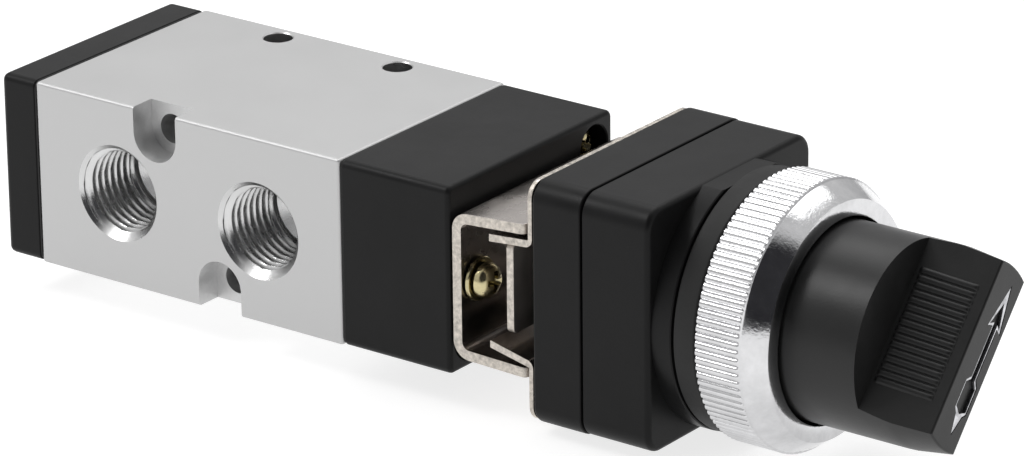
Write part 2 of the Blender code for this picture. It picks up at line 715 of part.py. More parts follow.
def build_shaft_bush(material, parent):
    profile = [
        (CHAMBER_END_X + GAP, SHAFT + GAP),
        (CHAMBER_END_X + GAP, BUSH_BORE - GAP),
        (NECK_BORE_X - GAP, BUSH_BORE - GAP),
        (NECK_BORE_X - GAP, SHAFT + GAP),
    ]
    return add_object("shaft_bush", turned_form(profile, 24), material, parent)


def cam_height(angle):
    """How far the drum's rear rim is set forwards at an angle on the drum.

    The rim repeats every half turn: a dwell at rest, a tooth that stops the pin, and a helical ramp.
    """
    half_turn = angle % math.pi
    if half_turn < CAM_DWELL:
        return STROKE
    if half_turn < math.pi / 2:
        return 0
    return STROKE * (half_turn - math.pi / 2) / (math.pi / 2)


def build_cam_drum(material, parent):
    """A drum whose rear rim is two helical ramps, which drive the cross pin rearwards."""
    steps = 60
    low_x = CROSS_PIN_X + CROSS_PIN + 0.0005 - STROKE
    form = bmesh.new()
    sections = []
    for step in range(steps):
        angle = step * math.tau / steps
        rim_x = low_x + cam_height(angle)
        section = [
            (rim_x, CAM),
            (CAM_FRONT_X, CAM),
            (CAM_FRONT_X, SHAFT + GAP),
            (CAM_WALL_X, SHAFT + GAP),
            (CAM_WALL_X, CAM_BORE),
            (rim_x, CAM_BORE),
        ]
        around = Vector((0, math.cos(angle), math.sin(angle)))
        sections.append([form.verts.new(Vector((x, 0, 0)) + radius * around) for x, radius in section])
    for first, second in zip(sections, sections[1:] + sections[:1]):
        for i in range(len(first)):
            j = (i + 1) % len(first)
            form.faces.new((first[i], first[j], second[j], second[i]))
    return add_object("cam_drum", form, material, parent)


def build_plunger(material, parent):
    """The rod that carries the push plate at its rear and the cross pin at its front."""
    start = PUSH_PLATE_X + PUSH_PLATE_SHEET + GAP
    end = CROSS_PIN_X + 0.0026
    profile = [(start, 0), (start, PLUNGER), (end - 0.0006, PLUNGER), (end, PLUNGER - 0.0006), (end, 0)]
    plunger = add_object("plunger", turned_form(profile, 24), material, parent)
    place = (CROSS_PIN_X, -PLUNGER, 0)
    hole = through(CROSS_PIN + GAP, 2 * PLUNGER)
    drill(plunger, "cut_pin_hole", hole, place, turn_y_to_x(1), SCREW_STEPS)
    return plunger


def build_plunger_bush(material, parent):
    start, end = BASE_REAR_X + PLUNGER_WALL + GAP, BASE_REAR_X + BASE_REAR_LENGTH - GAP
    inner = PLUNGER + GAP
    outer = BUSH_BORE - GAP
    profile = [(start, inner), (start, outer), (end, outer), (end, inner)]
    return add_object("plunger_bush", turned_form(profile, 24), material, parent)


def build_cross_pin(material, parent):
    half = CROSS_PIN_HALF_LENGTH
    profile = [
        (-half, 0),
        (-half, CROSS_PIN - 0.0003),
        (0.0003 - half, CROSS_PIN),
        (half - 0.0003, CROSS_PIN),
        (half, CROSS_PIN - 0.0003),
        (half, 0),
    ]
    form = turned_form(profile, 16)
    return add_object("cross_pin", form, material, parent, (CROSS_PIN_X, 0, 0), turn_y_to_x(1))


def build_push_plate(material, parent):
    half_y, half_z = PUSH_PLATE_HALF_WIDTH, PUSH_PLATE_HALF_HEIGHT
    high = (PUSH_PLATE_X + PUSH_PLATE_SHEET, half_y, half_z)
    form = rounded_box_form((PUSH_PLATE_X, -half_y, -half_z), high, 0.0008, segments=2)
    return add_object("push_plate", form, material, parent)


def land_centres():
    """X of the middle of each spool land, from the rear one to the front one."""
    return [BODY_MID_X + offset for offset in (-0.0161, -0.0063, 0.0063, 0.0161, 0.0246)]


def build_spool(material, parent):
    """A waisted spool with a grooved land for each seal, and a stem out to the push plate."""
    half_land, half_groove = LAND_LENGTH / 2, SEAL_WIDTH / 2 + GAP
    centres = land_centres()
    profile = [(centres[0] - half_land, 0)]
    for centre in centres:
        profile += [
            (centre - half_land, SPOOL_LAND),
            (centre - half_groove, SPOOL_LAND),
            (centre - half_groove, SEAL_GROOVE),
            (centre + half_groove, SEAL_GROOVE),
            (centre + half_groove, SPOOL_LAND),
            (centre + half_land, SPOOL_LAND),
        ]
        if centre != centres[-1]:
            following = centres[centres.index(centre) + 1]
            profile += [(centre + half_land, SPOOL_WAIST), (following - half_land, SPOOL_WAIST)]
    stem_end = PUSH_PLATE_X - GAP
    profile += [
        (centres[-1] + half_land, STEM),
        (stem_end - 0.0004, STEM),
        (stem_end, STEM - 0.0004),
        (stem_end, 0),
    ]
    return add_object("spool", turned_form(profile, SMALL_STEPS), material, parent)


def build_spool_seals(material, parent):
    inner, outer, half = SEAL_GROOVE + GAP, SPOOL_BORE - 0.0001, SEAL_WIDTH / 2
    profile = [(-half, inner), (-half, outer - 0.0003), (0, outer), (half, outer - 0.0003), (half, inner)]
    for number, centre in enumerate(land_centres(), 1):
        add_object(f"spool_seal_{number}", turned_form(profile, 24), material, parent, (centre, 0, 0))


def build_stem_guides(bush_material, seal_material, parent):
    inner, outer = STEM + GAP, STEM_GUIDE_BORE - GAP
    seal_end = FRONT_CAP_X + 0.0030
    bush_start, bush_end = seal_end + GAP, FRONT_CAP_X + STEM_GUIDE_DEPTH - GAP
    seal = [
        (FRONT_CAP_X + GAP, inner + 0.0004),
        (FRONT_CAP_X + GAP, outer),
        (seal_end, outer),
        (seal_end, inner),
        (seal_end - 0.0008, inner),
    ]
    bush = [(bush_start, inner), (bush_start, outer), (bush_end, outer), (bush_end, inner)]
    add_object("stem_seal", turned_form(seal, 24), seal_material, parent)
    add_object("stem_bush", turned_form(bush, 24), bush_material, parent)


def build_return_spring(material, parent):
    """A round-wire compression spring between the rear cap and the spool."""
    wire, mean_radius, turns, points_per_turn = 0.0004, 0.0038, 5, 14
    start = REAR_FACE_X + REAR_CAP_LENGTH - 0.0020 + GAP + wire
    end = land_centres()[0] - LAND_LENGTH / 2 - GAP - wire
    count = turns * points_per_turn
    curve = bpy.data.curves.new("return_spring", "CURVE")
    curve.dimensions = "3D"
    curve.bevel_depth = wire
    curve.bevel_resolution = 1
    curve.use_fill_caps = True
    spline = curve.splines.new("POLY")
    spline.points.add(count)
    for index, point in enumerate(spline.points):
        angle = index * math.tau / points_per_turn
        x = start + (end - start) * index / count
        point.co = (x, mean_radius * math.cos(angle), mean_radius * math.sin(angle), 1)
    curve.materials.append(material)
    spring = bpy.data.objects.new("return_spring", curve)
    bpy.context.scene.collection.objects.link(spring)
    spring.parent = parent
    return spring


def screw_profile(head, head_height, shank, length):
    """A pan-head screw whose head sits on x = 0 and whose shank runs to -length."""
    return [
        (-length, 0),
        (-length, shank),
        (0, shank),
        (0, head),
        (head_height * 0.55, head),
        (head_height * 0.9, head * 0.72),
        (head_height, head * 0.35),
        (head_height, 0),
    ]


def build_screws(plated, gold, steel, parent):
    """Cap, bracket and base screws, with the washers under the bracket screws."""
    cap_screw = screw_profile(0.0026, 0.0021, 0.0012, 0.0200)
    short_cap_screw = screw_profile(0.0026, 0.0020, 0.0012, 0.0100)
    bracket_screw = screw_profile(0.00265, 0.0021, 0.0013, 0.0100)
    base_screw = screw_profile(0.0023, 0.0016, 0.0012, 0.0140)
    washer = [(0, 0.0016), (0, 0.0031), (0.0006, 0.0031), (0.0006, 0.0016)]
    for number, sign in enumerate((1, -1), 1):
        side = sign * CAP_SCREW_Y
        place = (CAP_FACE_X - CAP_POCKET_DEPTH + GAP, side, sign * CAP_SCREW_Z)
        add_object(f"front_cap_screw_{number}", turned_form(cap_screw, 12), gold, parent, place)
        place = (REAR_FACE_X + REAR_POCKET_DEPTH - GAP, side, sign * CAP_SCREW_Z)
        form = turned_form(short_cap_screw, SCREW_STEPS)
        add_object(f"rear_cap_screw_{number}", form, gold, parent, place, turn_back())
        web = CHANNEL_X + CHANNEL_SHEET + GAP
        place = (web, -sign * BRACKET_SCREW_Y, 0)
        add_object(f"bracket_washer_{number}", turned_form(washer, 12), gold, parent, place)
        place = (web + 0.0006 + GAP, -sign * BRACKET_SCREW_Y, 0)
        add_object(f"bracket_screw_{number}", turned_form(bracket_screw, 12), gold, parent, place)
    corners = [(-1, 1), (1, 1), (1, -1), (-1, -1)]
    for number, (side, sign) in enumerate(corners, 1):
        place = (ANGLE_X - GAP, side * BASE_SCREW_Y, sign * BASE_SCREW_Z)
        form = turned_form(base_screw, SCREW_STEPS)
        add_object(f"base_screw_{number}", form, steel, parent, place, turn_back())
    rivet = screw_profile(0.0019, 0.0008, 0.0011, 0.0031)
    for name, sign in (("upper", 1), ("lower", -1)):
        place = (RIVET_X, 0, sign * (CHANNEL_HALF_HEIGHT + GAP))
        add_object(f"bracket_rivet_{name}", turned_form(rivet, 12), plated, parent, place, turn_z_to_x(sign))


def build_all():
    clear_scene()
    aluminium = finish_material("satin_aluminium", (0.56, 0.56, 0.57), 1.0, 0.42)
    plastic = finish_material("black_plastic", (0.022, 0.022, 0.023), 0.0, 0.45)
    knob_plastic = finish_material("knob_plastic", (0.020, 0.020, 0.021), 0.0, 0.38)
    nickel = finish_material("nickel_plate", (0.62, 0.58, 0.54), 1.0, 0.30)
    chrome = finish_material("chrome", (0.80, 0.80, 0.82), 1.0, 0.10)
    gold = finish_material("yellow_zinc", (0.62, 0.54, 0.30), 1.0, 0.28)
    steel = finish_material("steel", (0.50, 0.50, 0.52), 1.0, 0.35)
    brass = finish_material("brass", (0.70, 0.52, 0.25), 1.0, 0.30)
    rubber = finish_material("rubber", (0.018, 0.018, 0.018), 0.0, 0.75)

    root = axis_empty("valve_root")
    selector = axis_empty("knob_axis", root)
    follower = axis_empty("plunger_axis", root)
    spool_axis = axis_empty("spool_axis", root)
    gasket_axis = axis_empty("panel_gasket_axis", root)
    ring_axis = axis_empty("ring_nut_axis", gasket_axis)

    build_valve_body(aluminium, root)
    build_cap_gasket("rear_gasket", REAR_GASKET_X, rubber, root)
    build_cap_gasket("front_gasket", FRONT_GASKET_X, rubber, root)
    build_rear_cap(plastic, root)
    build_front_cap(plastic, root)
    build_stem_guides(brass, rubber, root)
    build_channel(nickel, root)
    build_angle("bracket_angle_upper", 1, nickel, root)
    build_angle("bracket_angle_lower", -1, nickel, root)
    build_base_rear(plastic, root)
    build_base_front(plastic, root)
    build_plunger_bush(brass, root)
    build_shaft_bush(brass, root)
    build_screws(nickel, gold, steel, root)

    build_panel_gasket(rubber, gasket_axis)
    build_ring_nut(chrome, ring_axis)

    build_knob(knob_plastic, selector)
    build_knob_arrow(chrome, selector)
    build_knob_screw(steel, selector)
    build_selector_shaft(steel, selector)
    build_cam_drum(steel, selector)

    build_plunger(steel, follower)
    build_push_plate(nickel, follower)
    build_cross_pin(steel, follower)

    build_spool(aluminium, spool_axis)
    build_spool_seals(rubber, spool_axis)
    build_return_spring(steel, spool_axis)


build_all()
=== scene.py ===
"""Looks for the panel-mount selector valve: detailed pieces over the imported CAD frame. Metres, +Z up."""
import math

import bmesh
import bpy
from mathutils import Matrix, Vector


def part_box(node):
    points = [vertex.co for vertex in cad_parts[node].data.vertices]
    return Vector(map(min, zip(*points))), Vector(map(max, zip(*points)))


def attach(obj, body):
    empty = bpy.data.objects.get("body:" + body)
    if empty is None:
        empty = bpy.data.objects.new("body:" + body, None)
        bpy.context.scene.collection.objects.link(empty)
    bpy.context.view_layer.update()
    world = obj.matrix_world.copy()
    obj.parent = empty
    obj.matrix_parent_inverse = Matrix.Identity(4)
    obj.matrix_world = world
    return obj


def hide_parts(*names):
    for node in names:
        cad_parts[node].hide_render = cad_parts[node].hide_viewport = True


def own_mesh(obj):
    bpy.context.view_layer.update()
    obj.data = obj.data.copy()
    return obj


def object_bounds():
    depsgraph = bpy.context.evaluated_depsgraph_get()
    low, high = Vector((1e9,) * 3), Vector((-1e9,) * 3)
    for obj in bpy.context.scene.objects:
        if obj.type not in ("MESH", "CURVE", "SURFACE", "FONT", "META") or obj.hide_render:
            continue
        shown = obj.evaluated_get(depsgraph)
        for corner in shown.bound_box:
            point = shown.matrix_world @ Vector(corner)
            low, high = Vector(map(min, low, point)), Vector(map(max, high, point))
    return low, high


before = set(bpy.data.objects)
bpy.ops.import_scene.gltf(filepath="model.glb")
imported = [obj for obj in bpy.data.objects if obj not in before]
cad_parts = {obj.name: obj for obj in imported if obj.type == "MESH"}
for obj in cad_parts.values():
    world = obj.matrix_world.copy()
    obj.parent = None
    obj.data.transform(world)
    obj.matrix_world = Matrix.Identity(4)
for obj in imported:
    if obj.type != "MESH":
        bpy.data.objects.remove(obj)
start_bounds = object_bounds()

# Metres per millimetre, how far cutters stand proud, and the tolerance for comparing places
MM = 0.001
OVERCUT = 1.0 * MM
MOUTH_LEAD = 0.01
SMALLEST_CORNER = 0.02 * MM
NEARLY = 0.001 * MM

# Threaded ports, G 1/4 and G 1/8: (tapping radius, thread radius, pitch, mouth radius, thread depth)
WORKING_PORT = (5.72 * MM, 6.58 * MM, 1.337 * MM, 7.05 * MM, 11.3 * MM)
EXHAUST_PORT = (4.28 * MM, 4.86 * MM, 0.907 * MM, 5.30 * MM, 8.5 * MM)
PORT_SPACING = 25.0 * MM
EXHAUST_SPACING = 38.8 * MM
DRILLING = 3.0 * MM
DRILLING_LENGTH = 4.0 * MM
SPOOL_BORE = 6.5 * MM

# Thread form, as shares of the pitch: its crest's flat and both flanks. It fades out over the last turns
ROWS_PER_TURN = 12
THREAD_FLAT = 0.12
THREAD_FLANKS = 0.76
RUN_OUT_TURNS = 1.5

# Mounting holes and edges of the body
BODY_EDGE = 0.45 * MM
SIDE_HOLE_AT = (5.45 * MM, 9.9 * MM)
SIDE_HOLE = 2.15 * MM
COUNTERBORE = 3.75 * MM
COUNTERBORE_DEPTH = 4.0 * MM
NOTCH_REACH = 1.4
TOP_HOLE_AT = (10.7 * MM, 15.2 * MM)
TOP_HOLE = 2.1 * MM
TOP_HOLE_MOUTH = 0.15 * MM
CAP_TAPPING = 1.4 * MM
CAP_TAPPING_DEPTH = 9.0 * MM

# End caps: their seam with the body and their rounded edges
CAP_CORNER = 1.1 * MM
CAP_SEAM = 0.38 * MM
CAP_SEAM_INSET = 0.12 * MM
CAP_SEAM_ROUND = 0.15 * MM
CAP_FRONT_ROUND = 0.7 * MM
CAP_REAR_ROUND = 1.0 * MM
CAP_GASKET_GAP = 0.04 * MM
CAP_GASKET_CLEARANCE = 0.3 * MM
STEM_HOUSING = 6.0 * MM
STEM_HOUSING_DEPTH = 11.7 * MM
STEM_BORE = 4.0 * MM
SPRING_SEAT = 5.0 * MM
SPRING_SEAT_DEPTH = 2.7 * MM

# Cap screws, bracket screws and base screws: their places from the axis, and the holes they need
CAP_SCREW_AT = (14.4 * MM, 9.2 * MM)
CAP_SCREW_HOLE = 1.8 * MM
CAP_POCKET = 3.1 * MM
CAP_POCKET_MOUTH = 0.2 * MM
FRONT_POCKET_DEPTH = 3.8 * MM
REAR_POCKET_DEPTH = 2.8 * MM
BRACKET_SCREW_Y = 15.0 * MM
BRACKET_TAPPING = 1.6 * MM
BRACKET_TAPPING_DEPTH = 10.0 * MM
BASE_SCREW_AT = (13.2 * MM, 13.4 * MM)
BASE_SCREW_HOLE = 1.5 * MM
BASE_REAR_DEPTH = 9.0 * MM
BASE_FRONT_DEPTH = 6.0 * MM

# Screw heads: (radius, height, shank radius), and a dome as shares of (height, radius) from its top down
BRACKET_HEAD = (2.5 * MM, 2.1 * MM, 1.3 * MM)
FRONT_CAP_HEAD = (2.6 * MM, 2.1 * MM, 1.2 * MM)
REAR_CAP_HEAD = (2.6 * MM, 2.0 * MM, 1.2 * MM)
BASE_HEAD = (2.3 * MM, 1.6 * MM, 1.2 * MM)
DOME = (
    (0.0, 0.12), (0.03, 0.38), (0.12, 0.62), (0.28, 0.82),
    (0.48, 0.95), (0.66, 1.0), (0.94, 1.0), (1.0, 0.95),
)
SCREW_TIP = 0.4 * MM
SCREW_TIP_SHARE = 0.7
CROSS_SPAN = 0.66
CROSS_DEPTH = 0.75
CROSS_WIDTH = 0.24
CROSS_LEAD = 0.4 * MM
CROSS_TAPER = (1.12, 1.0, 0.42)
WASHER = (1.6 * MM, 3.1 * MM)
WASHER_EDGE = 0.12 * MM
RIVET_HEAD = (1.9 * MM, 0.8 * MM, 1.1 * MM)
RIVET_ANGLES = (1.5, 1.25, 1.0, 0.75, 0.5, 0.25, 0.0)
RIVET_TIP = 0.2 * MM
BRACKET_SPIN, FRONT_CAP_SPIN, REAR_CAP_SPIN, BASE_SPIN = 8, 35, 50, 25

# Sheet bracket; tilts are in degrees, and a tongue is its (height, slope in degrees)
CHANNEL_SHEET = 1.5 * MM
CHANNEL_BEND = 2.6 * MM
CHANNEL_EDGE = 0.11 * MM
CHANNEL_HOLE = 5.0 * MM
CHANNEL_SCREW_HOLE = 1.7 * MM
UPPER_FLANGE_DROP = 0.4 * MM
UPPER_FLANGE_TILT = 4.0
LOWER_FLANGE_TILT = 1.5
UPPER_TONGUE = (7.4 * MM, 4.8)
LOWER_TONGUE = (6.7 * MM, 13.0)
TONGUE_SHEET = 1.1 * MM
TONGUE_BEND = 1.25 * MM
ANGLE_EDGE = 0.10 * MM
LEG_SHEET = 0.7 * MM
LEG_SHIFT = 0.12 * MM
ANGLE_CORNER = 2.4 * MM
TIP_CORNER = 0.8 * MM
RIVET_X = 7.4 * MM
RIVET_HOLE = 1.4 * MM
PLATE_LIFT = 0.9 * MM
PLATE_ROUND = 0.15 * MM

# Return spring
SPRING_TURNS = 7
SPRING_STEPS = 28
SPRING_SIDES = 8
SPRING_WIRE = 0.4 * MM
CLOSED_END = 0.12
CLOSED_PITCH = 0.06

# Switch
BASE_CORNER = 3.0 * MM
BASE_REAR_ROUND = 0.5 * MM
BASE_FRONT_ROUND = 0.8 * MM
BASE_SEAM_ROUND = 0.2 * MM
COLLAR_LENGTH = 3.0 * MM
COLLAR_GAP = 0.3 * MM
COLLAR_BURIED = 2.0 * MM
COLLAR_LEAD = 0.1 * MM
COLLAR_EDGE = 0.15 * MM
NECK_EDGE = 0.5 * MM
PLUNGER_BORE = 3.8 * MM
PLUNGER_BORE_DEPTH = 3.0 * MM
PLUNGER_WALL = 1.5 * MM
COLLAR = 18.2 * MM
COLLAR_FLAT = 17.15 * MM
NECK = 15.0 * MM
NECK_BORE = 14.1 * MM
NECK_FROM_RING = 8.4 * MM
CAM_CHAMBER = 12.5 * MM
CHAMBER_END = 3.0 * MM
SHAFT_BORE = 7.0 * MM
SHAFT_WALL = 3.5 * MM

# Ring nut and gasket. The knurl's ends are (mm from its start, share of the groove's depth), and the
# chamfer's first steps are (mm past the rim, mm above the chamfer)
TEETH = 104
STEPS_PER_TOOTH = 8
TOOTH_DEPTH = 0.46 * MM
RING = 18.7 * MM
BAND = 18.4 * MM
RING_FACE = 16.4 * MM
RING_LIP = 14.1 * MM
RIM_LENGTH = 7.1 * MM
RING_LIP_LENGTH = 1.5 * MM
RING_INNER = 15.3 * MM
RING_EDGE = 0.30 * MM
GROOVE_SHAPE = 0.97
KNURL_START = ((0.25, 0.9), (0.40, 1.0))
KNURL_END = ((6.4, 1.0), (6.6, 0.92), (6.8, 0.7), (7.0, 0.35), (7.1, 0.1))
KNURL_SHOULDER = 0.55 * MM
BAND_LEAD = ((0.12, 0.06), (0.30, 0.0))
FACE_SLOPE = 0.02 * MM
GASKET_EDGE = 0.35 * MM
GASKET_INSET = 0.1 * MM
GASKET_ANGLES = (0.5, 1.0, math.pi / 2)

# Knob; its socket takes the shaft, and the web in it takes the screw from the front
KNOB = 13.7 * MM
KNOB_TIP = 12.98 * MM
TAPER_LENGTH = 6.0 * MM
TAPER_BLEND = 0.6 * MM
TAPER_DROP = 0.05 * MM
CLEARANCE = 2.0 * MM
BLADE_LENGTH = 10.2 * MM
BLADE_ROOT = 6.0 * MM
BLADE_TIP = 3.6 * MM
BLADE_ANGLE = math.radians(48.5)
KNOB_ROUND = 0.32 * MM
EXIT_DEGREES, EXIT_RUN = 8, 7
KNOB_REAR_EDGE = 0.3 * MM
SOCKET = 4.3 * MM
SOCKET_FROM_END = 8.0 * MM
SCREW_HOLE = 1.5 * MM
SCREW_SEAT_FROM_END = 4.0 * MM
SCREW_WELL = 2.7 * MM
WELL_FROM_END = 1.3 * MM
RIBS = 16
RIB_PITCH = 1.05 * MM
RIB_LENGTH = 8.3 * MM
RIB_START = 0.5 * MM
RIB_PROUD = 0.30 * MM
RIB_BURIED = 0.06 * MM
RIB_SHARE = 0.86
RIB_END = 0.45 * MM
RIB_BASE = 0.5 * MM
RIB_STEPS = 10
RIB_LENGTH_STEPS = 20

# Arrow inlay, beside the blade's middle: half outlines in mm, as (along, across) from the middle
ARROW_ASIDE = 0.95 * MM
ARROW_OUTER = [
    (10.8, 0), (4.3, 1.95), (4.7, 0.75), (-2.6, 0.75),
    (-3.3, 1.7), (-7.3, 1.7), (-7.9, 0.95), (-10.8, 0),
]
ARROW_INNER = [
    (8.2, 0), (4.8, 1.42), (5.3, 0.50), (-2.9, 0.50),
    (-3.6, 1.45), (-7.0, 1.45), (-7.3, 0.7), (-7.7, 0),
]
ARROW_FIT = (0.995, 0.97)
ARROW_RECESS = 0.55 * MM
ARROW_BOTTOM = 0.54 * MM
ARROW_TOP = 0.06 * MM
ARROW_EDGE = 0.09 * MM

# Studio, in metres: its unlit side, its floor, and lamps as (name, place, width, height, power)
DARK_SIDE = (0.56, -0.62, 0.55)
DARK_FROM, DARK_FULL = 0.74, 0.86
DARK_SHADE = (0.05, 0.05, 0.055)
HORIZON_SHADE = (0.62, 0.62, 0.63)
HORIZON_TOP = 0.45
WORLD_STRENGTH = 0.75
FLOOR_SIZE = 6.0
FLOOR_GAP = 0.2 * MM
FLOOR_GLOW = 0.78
LAMPS = (
    ("overhead", (-0.15, 0.38, 0.85), 0.85, 0.7, 3.6),
    ("camera_left", (-0.62, -0.42, 0.80), 0.36, 0.36, 3.2),
)

# Camera: where it stands in metres, its direction in degrees, its lens and sensor in millimetres
CAMERA_AT = (0.45599, -0.60837, 0.29813)
CAMERA_AZIMUTH, CAMERA_ELEVATION, CAMERA_ROLL = 36.85, 21.34, -0.63
CAMERA_LENS = 210.94
CAMERA_SENSOR = 36
CAMERA_REACH = 50

AXIS_X = Matrix.Identity(3)
FROM_LEFT = Matrix.Rotation(math.pi / 2, 3, "Z")
FROM_RIGHT = Matrix.Rotation(-math.pi / 2, 3, "Z")
FROM_FRONT = Matrix.Rotation(math.pi, 3, "Z")
FROM_BELOW = Matrix.Rotation(-math.pi / 2, 3, "Y")
FROM_ABOVE = Matrix.Rotation(math.pi / 2, 3, "Y")


# Materials

def add_node(tree, kind, **values):
    node = tree.nodes.new(kind)
    for name, value in values.items():
        if hasattr(node, name):
            setattr(node, name, value)
        else:
            node.inputs[name].default_value = value
    return node


def two_stop_ramp(tree, low, high, start=0.3, end=0.7):
    ramp = tree.nodes.new("ShaderNodeValToRGB")
    ramp.color_ramp.elements[0].position = start
    ramp.color_ramp.elements[0].color = (*low, 1.0)
    ramp.color_ramp.elements[1].position = end
    ramp.color_ramp.elements[1].color = (*high, 1.0)
    return ramp


def finish(
    name, color, metallic, rough, grain, bump,
    spread=0.08, tint=0.08, specular=0.5, patch=90, stretch=(1, 1, 1),
):
    """A surface with fine grain in its relief, and slow patches in its colour and gloss."""
    material = bpy.data.materials.new(name)
    material.use_nodes = True
    tree = material.node_tree
    link = tree.links.new
    shader = tree.nodes["Principled BSDF"]
    shader.inputs["Base Color"].default_value = (*color, 1.0)
    shader.inputs["Metallic"].default_value = metallic
    shader.inputs["Roughness"].default_value = rough
    shader.inputs["Specular IOR Level"].default_value = specular
    place = add_node(tree, "ShaderNodeTexCoord")
    mapping = add_node(tree, "ShaderNodeMapping", Scale=stretch)
    fine = add_node(tree, "ShaderNodeTexNoise", Scale=grain, Detail=5.0, Roughness=0.6)
    slow = add_node(tree, "ShaderNodeTexNoise", Scale=patch, Detail=4.0, Roughness=0.65)
    shade = two_stop_ramp(tree, [c * (1 - tint) for c in color], [min(1, c * (1 + tint)) for c in color])
    gloss = add_node(tree, "ShaderNodeMapRange")
    gloss.inputs["From Min"].default_value = 0.3
    gloss.inputs["From Max"].default_value = 0.7
    gloss.inputs["To Min"].default_value = max(0.02, rough - spread)
    gloss.inputs["To Max"].default_value = rough + spread
    relief = add_node(tree, "ShaderNodeBump", Strength=bump, Distance=0.1 * MM)
    link(place.outputs["Object"], mapping.inputs["Vector"])
    link(mapping.outputs["Vector"], fine.inputs["Vector"])
    link(place.outputs["Object"], slow.inputs["Vector"])
    link(slow.outputs["Fac"], shade.inputs["Fac"])
    link(shade.outputs["Color"], shader.inputs["Base Color"])
    link(slow.outputs["Fac"], gloss.inputs["Value"])
    link(gloss.outputs["Result"], shader.inputs["Roughness"])
    link(fine.outputs["Fac"], relief.inputs["Height"])
    link(relief.outputs["Normal"], shader.inputs["Normal"])
    return material


# Each finish: name, colour, metallic, roughness, grain scale, relief, and the spread of gloss and of tint
aluminium = finish("anodised_aluminium", (0.53, 0.53, 0.53), 0.95, 0.50, 5200, 0.07, 0.015, 0.015)
machined = finish(
    "machined_aluminium", (0.62, 0.62, 0.62), 1.0, 0.27, 2600, 0.14, 0.08, 0.08, stretch=(1, 6, 1),
)
milled = finish("milled_aluminium", (0.62, 0.62, 0.62), 0.85, 0.46, 3400, 0.22, 0.05, 0.08, patch=500)
plastic = finish(
    "moulded_plastic", (0.0085, 0.0085, 0.0087), 0.0, 0.40, 3800, 0.16, 0.05, 0.20, specular=0.14,
)
knob_plastic = finish(
    "knob_plastic", (0.010, 0.010, 0.010), 0.0, 0.38, 2800, 0.12, 0.06, 0.20, specular=0.34,
)
nickel = finish("nickel_plate", (0.54, 0.50, 0.47), 1.0, 0.25, 1800, 0.08, 0.08, 0.12)
plate = finish("plated_sheet", (0.56, 0.52, 0.48), 0.9, 0.42, 1500, 0.20, 0.10, 0.15)
sheared = finish("sheared_edge", (0.53, 0.49, 0.44), 0.9, 0.40, 2600, 0.75, 0.12, 0.40, patch=1300)
chrome = finish("chrome", (0.62, 0.62, 0.63), 1.0, 0.09, 1900, 0.24, 0.05, 0.08, patch=420)
inlay = finish("chromed_inlay", (0.50, 0.50, 0.52), 1.0, 0.16, 1500, 0.20, 0.08, 0.45, patch=700)
gold = finish("yellow_zinc", (0.50, 0.44, 0.26), 1.0, 0.20, 1600, 0.10, 0.08, 0.25, patch=500)
steel = finish("bright_steel", (0.55, 0.55, 0.57), 1.0, 0.28, 2200, 0.08, 0.08, 0.08)
brass = finish("turned_brass", (0.72, 0.54, 0.26), 1.0, 0.26, 2200, 0.08, 0.08, 0.10)
rubber = finish(
    "black_rubber", (0.016, 0.016, 0.016), 0.0, 0.62, 2600, 0.22, 0.10, 0.20, specular=0.30,
)
floor_paper = finish(
    "floor_paper", (0.42, 0.42, 0.42), 0.0, 0.85, 400, 0.02, 0.04, 0.01, specular=0.10, patch=8,
)
floor_shader = floor_paper.node_tree.nodes["Principled BSDF"]
floor_shader.inputs["Emission Color"].default_value = (1, 1, 1, 1)
floor_shader.inputs["Emission Strength"].default_value = FLOOR_GLOW

FINISHES = {
    "satin_aluminium": aluminium,
    "black_plastic": plastic,
    "knob_plastic": knob_plastic,
    "nickel_plate": nickel,
    "chrome": chrome,
    "yellow_zinc": gold,
    "steel": steel,
    "brass": brass,
    "rubber": rubber,
}


# Shape helpers

def make(name, form, *materials, at=(0, 0, 0), turn=AXIS_X):
    """An object whose mesh is already in place, so that its grain follows the part."""
    bmesh.ops.recalc_face_normals(form, faces=form.faces)
    form.transform(Matrix.Translation(at) @ turn.to_4x4())
    mesh = bpy.data.meshes.new(name)
    form.to_mesh(mesh)
    form.free()
    for material in materials:
        mesh.materials.append(material)
    piece = bpy.data.objects.new(name, mesh)
    bpy.context.scene.collection.objects.link(piece)
    return piece


def bake(piece):
    """Replaces the mesh by what the modifiers make of it."""
    graph = bpy.context.evaluated_depsgraph_get()
    mesh = bpy.data.meshes.new_from_object(piece.evaluated_get(graph))
    old = piece.data
    piece.modifiers.clear()
    piece.data = mesh
    bpy.data.meshes.remove(old)


def cut(piece, tools, operation="DIFFERENCE"):
    """Cuts tools out of a piece or joins them to it, and keeps the tools' materials on the new faces."""
    for tool in tools:
        boolean = piece.modifiers.new("cut", "BOOLEAN")
        boolean.solver = "EXACT"
        boolean.operation = operation
        boolean.material_mode = "TRANSFER"
        boolean.object = tool
    bake(piece)
    for tool in tools:
        bpy.data.objects.remove(tool, do_unlink=True)


def bevel(piece, width, segments=2, angle=32):
    rounding = piece.modifiers.new("round", "BEVEL")
    rounding.width = width
    rounding.segments = segments
    rounding.limit_method = "ANGLE"
    rounding.angle_limit = math.radians(angle)
    rounding.use_clamp_overlap = True
    bake(piece)


def settle(piece, body, nodes, sharp=32):
    """Final shading, what the piece rides on, and the CAD nodes it replaces."""
    piece.data.shade_smooth()
    piece.data.set_sharp_from_angle(angle=math.radians(sharp))
    weighted = piece.modifiers.new("flat_faces", "WEIGHTED_NORMAL")
    weighted.keep_sharp = True
    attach(piece, body)
    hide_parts(*nodes)


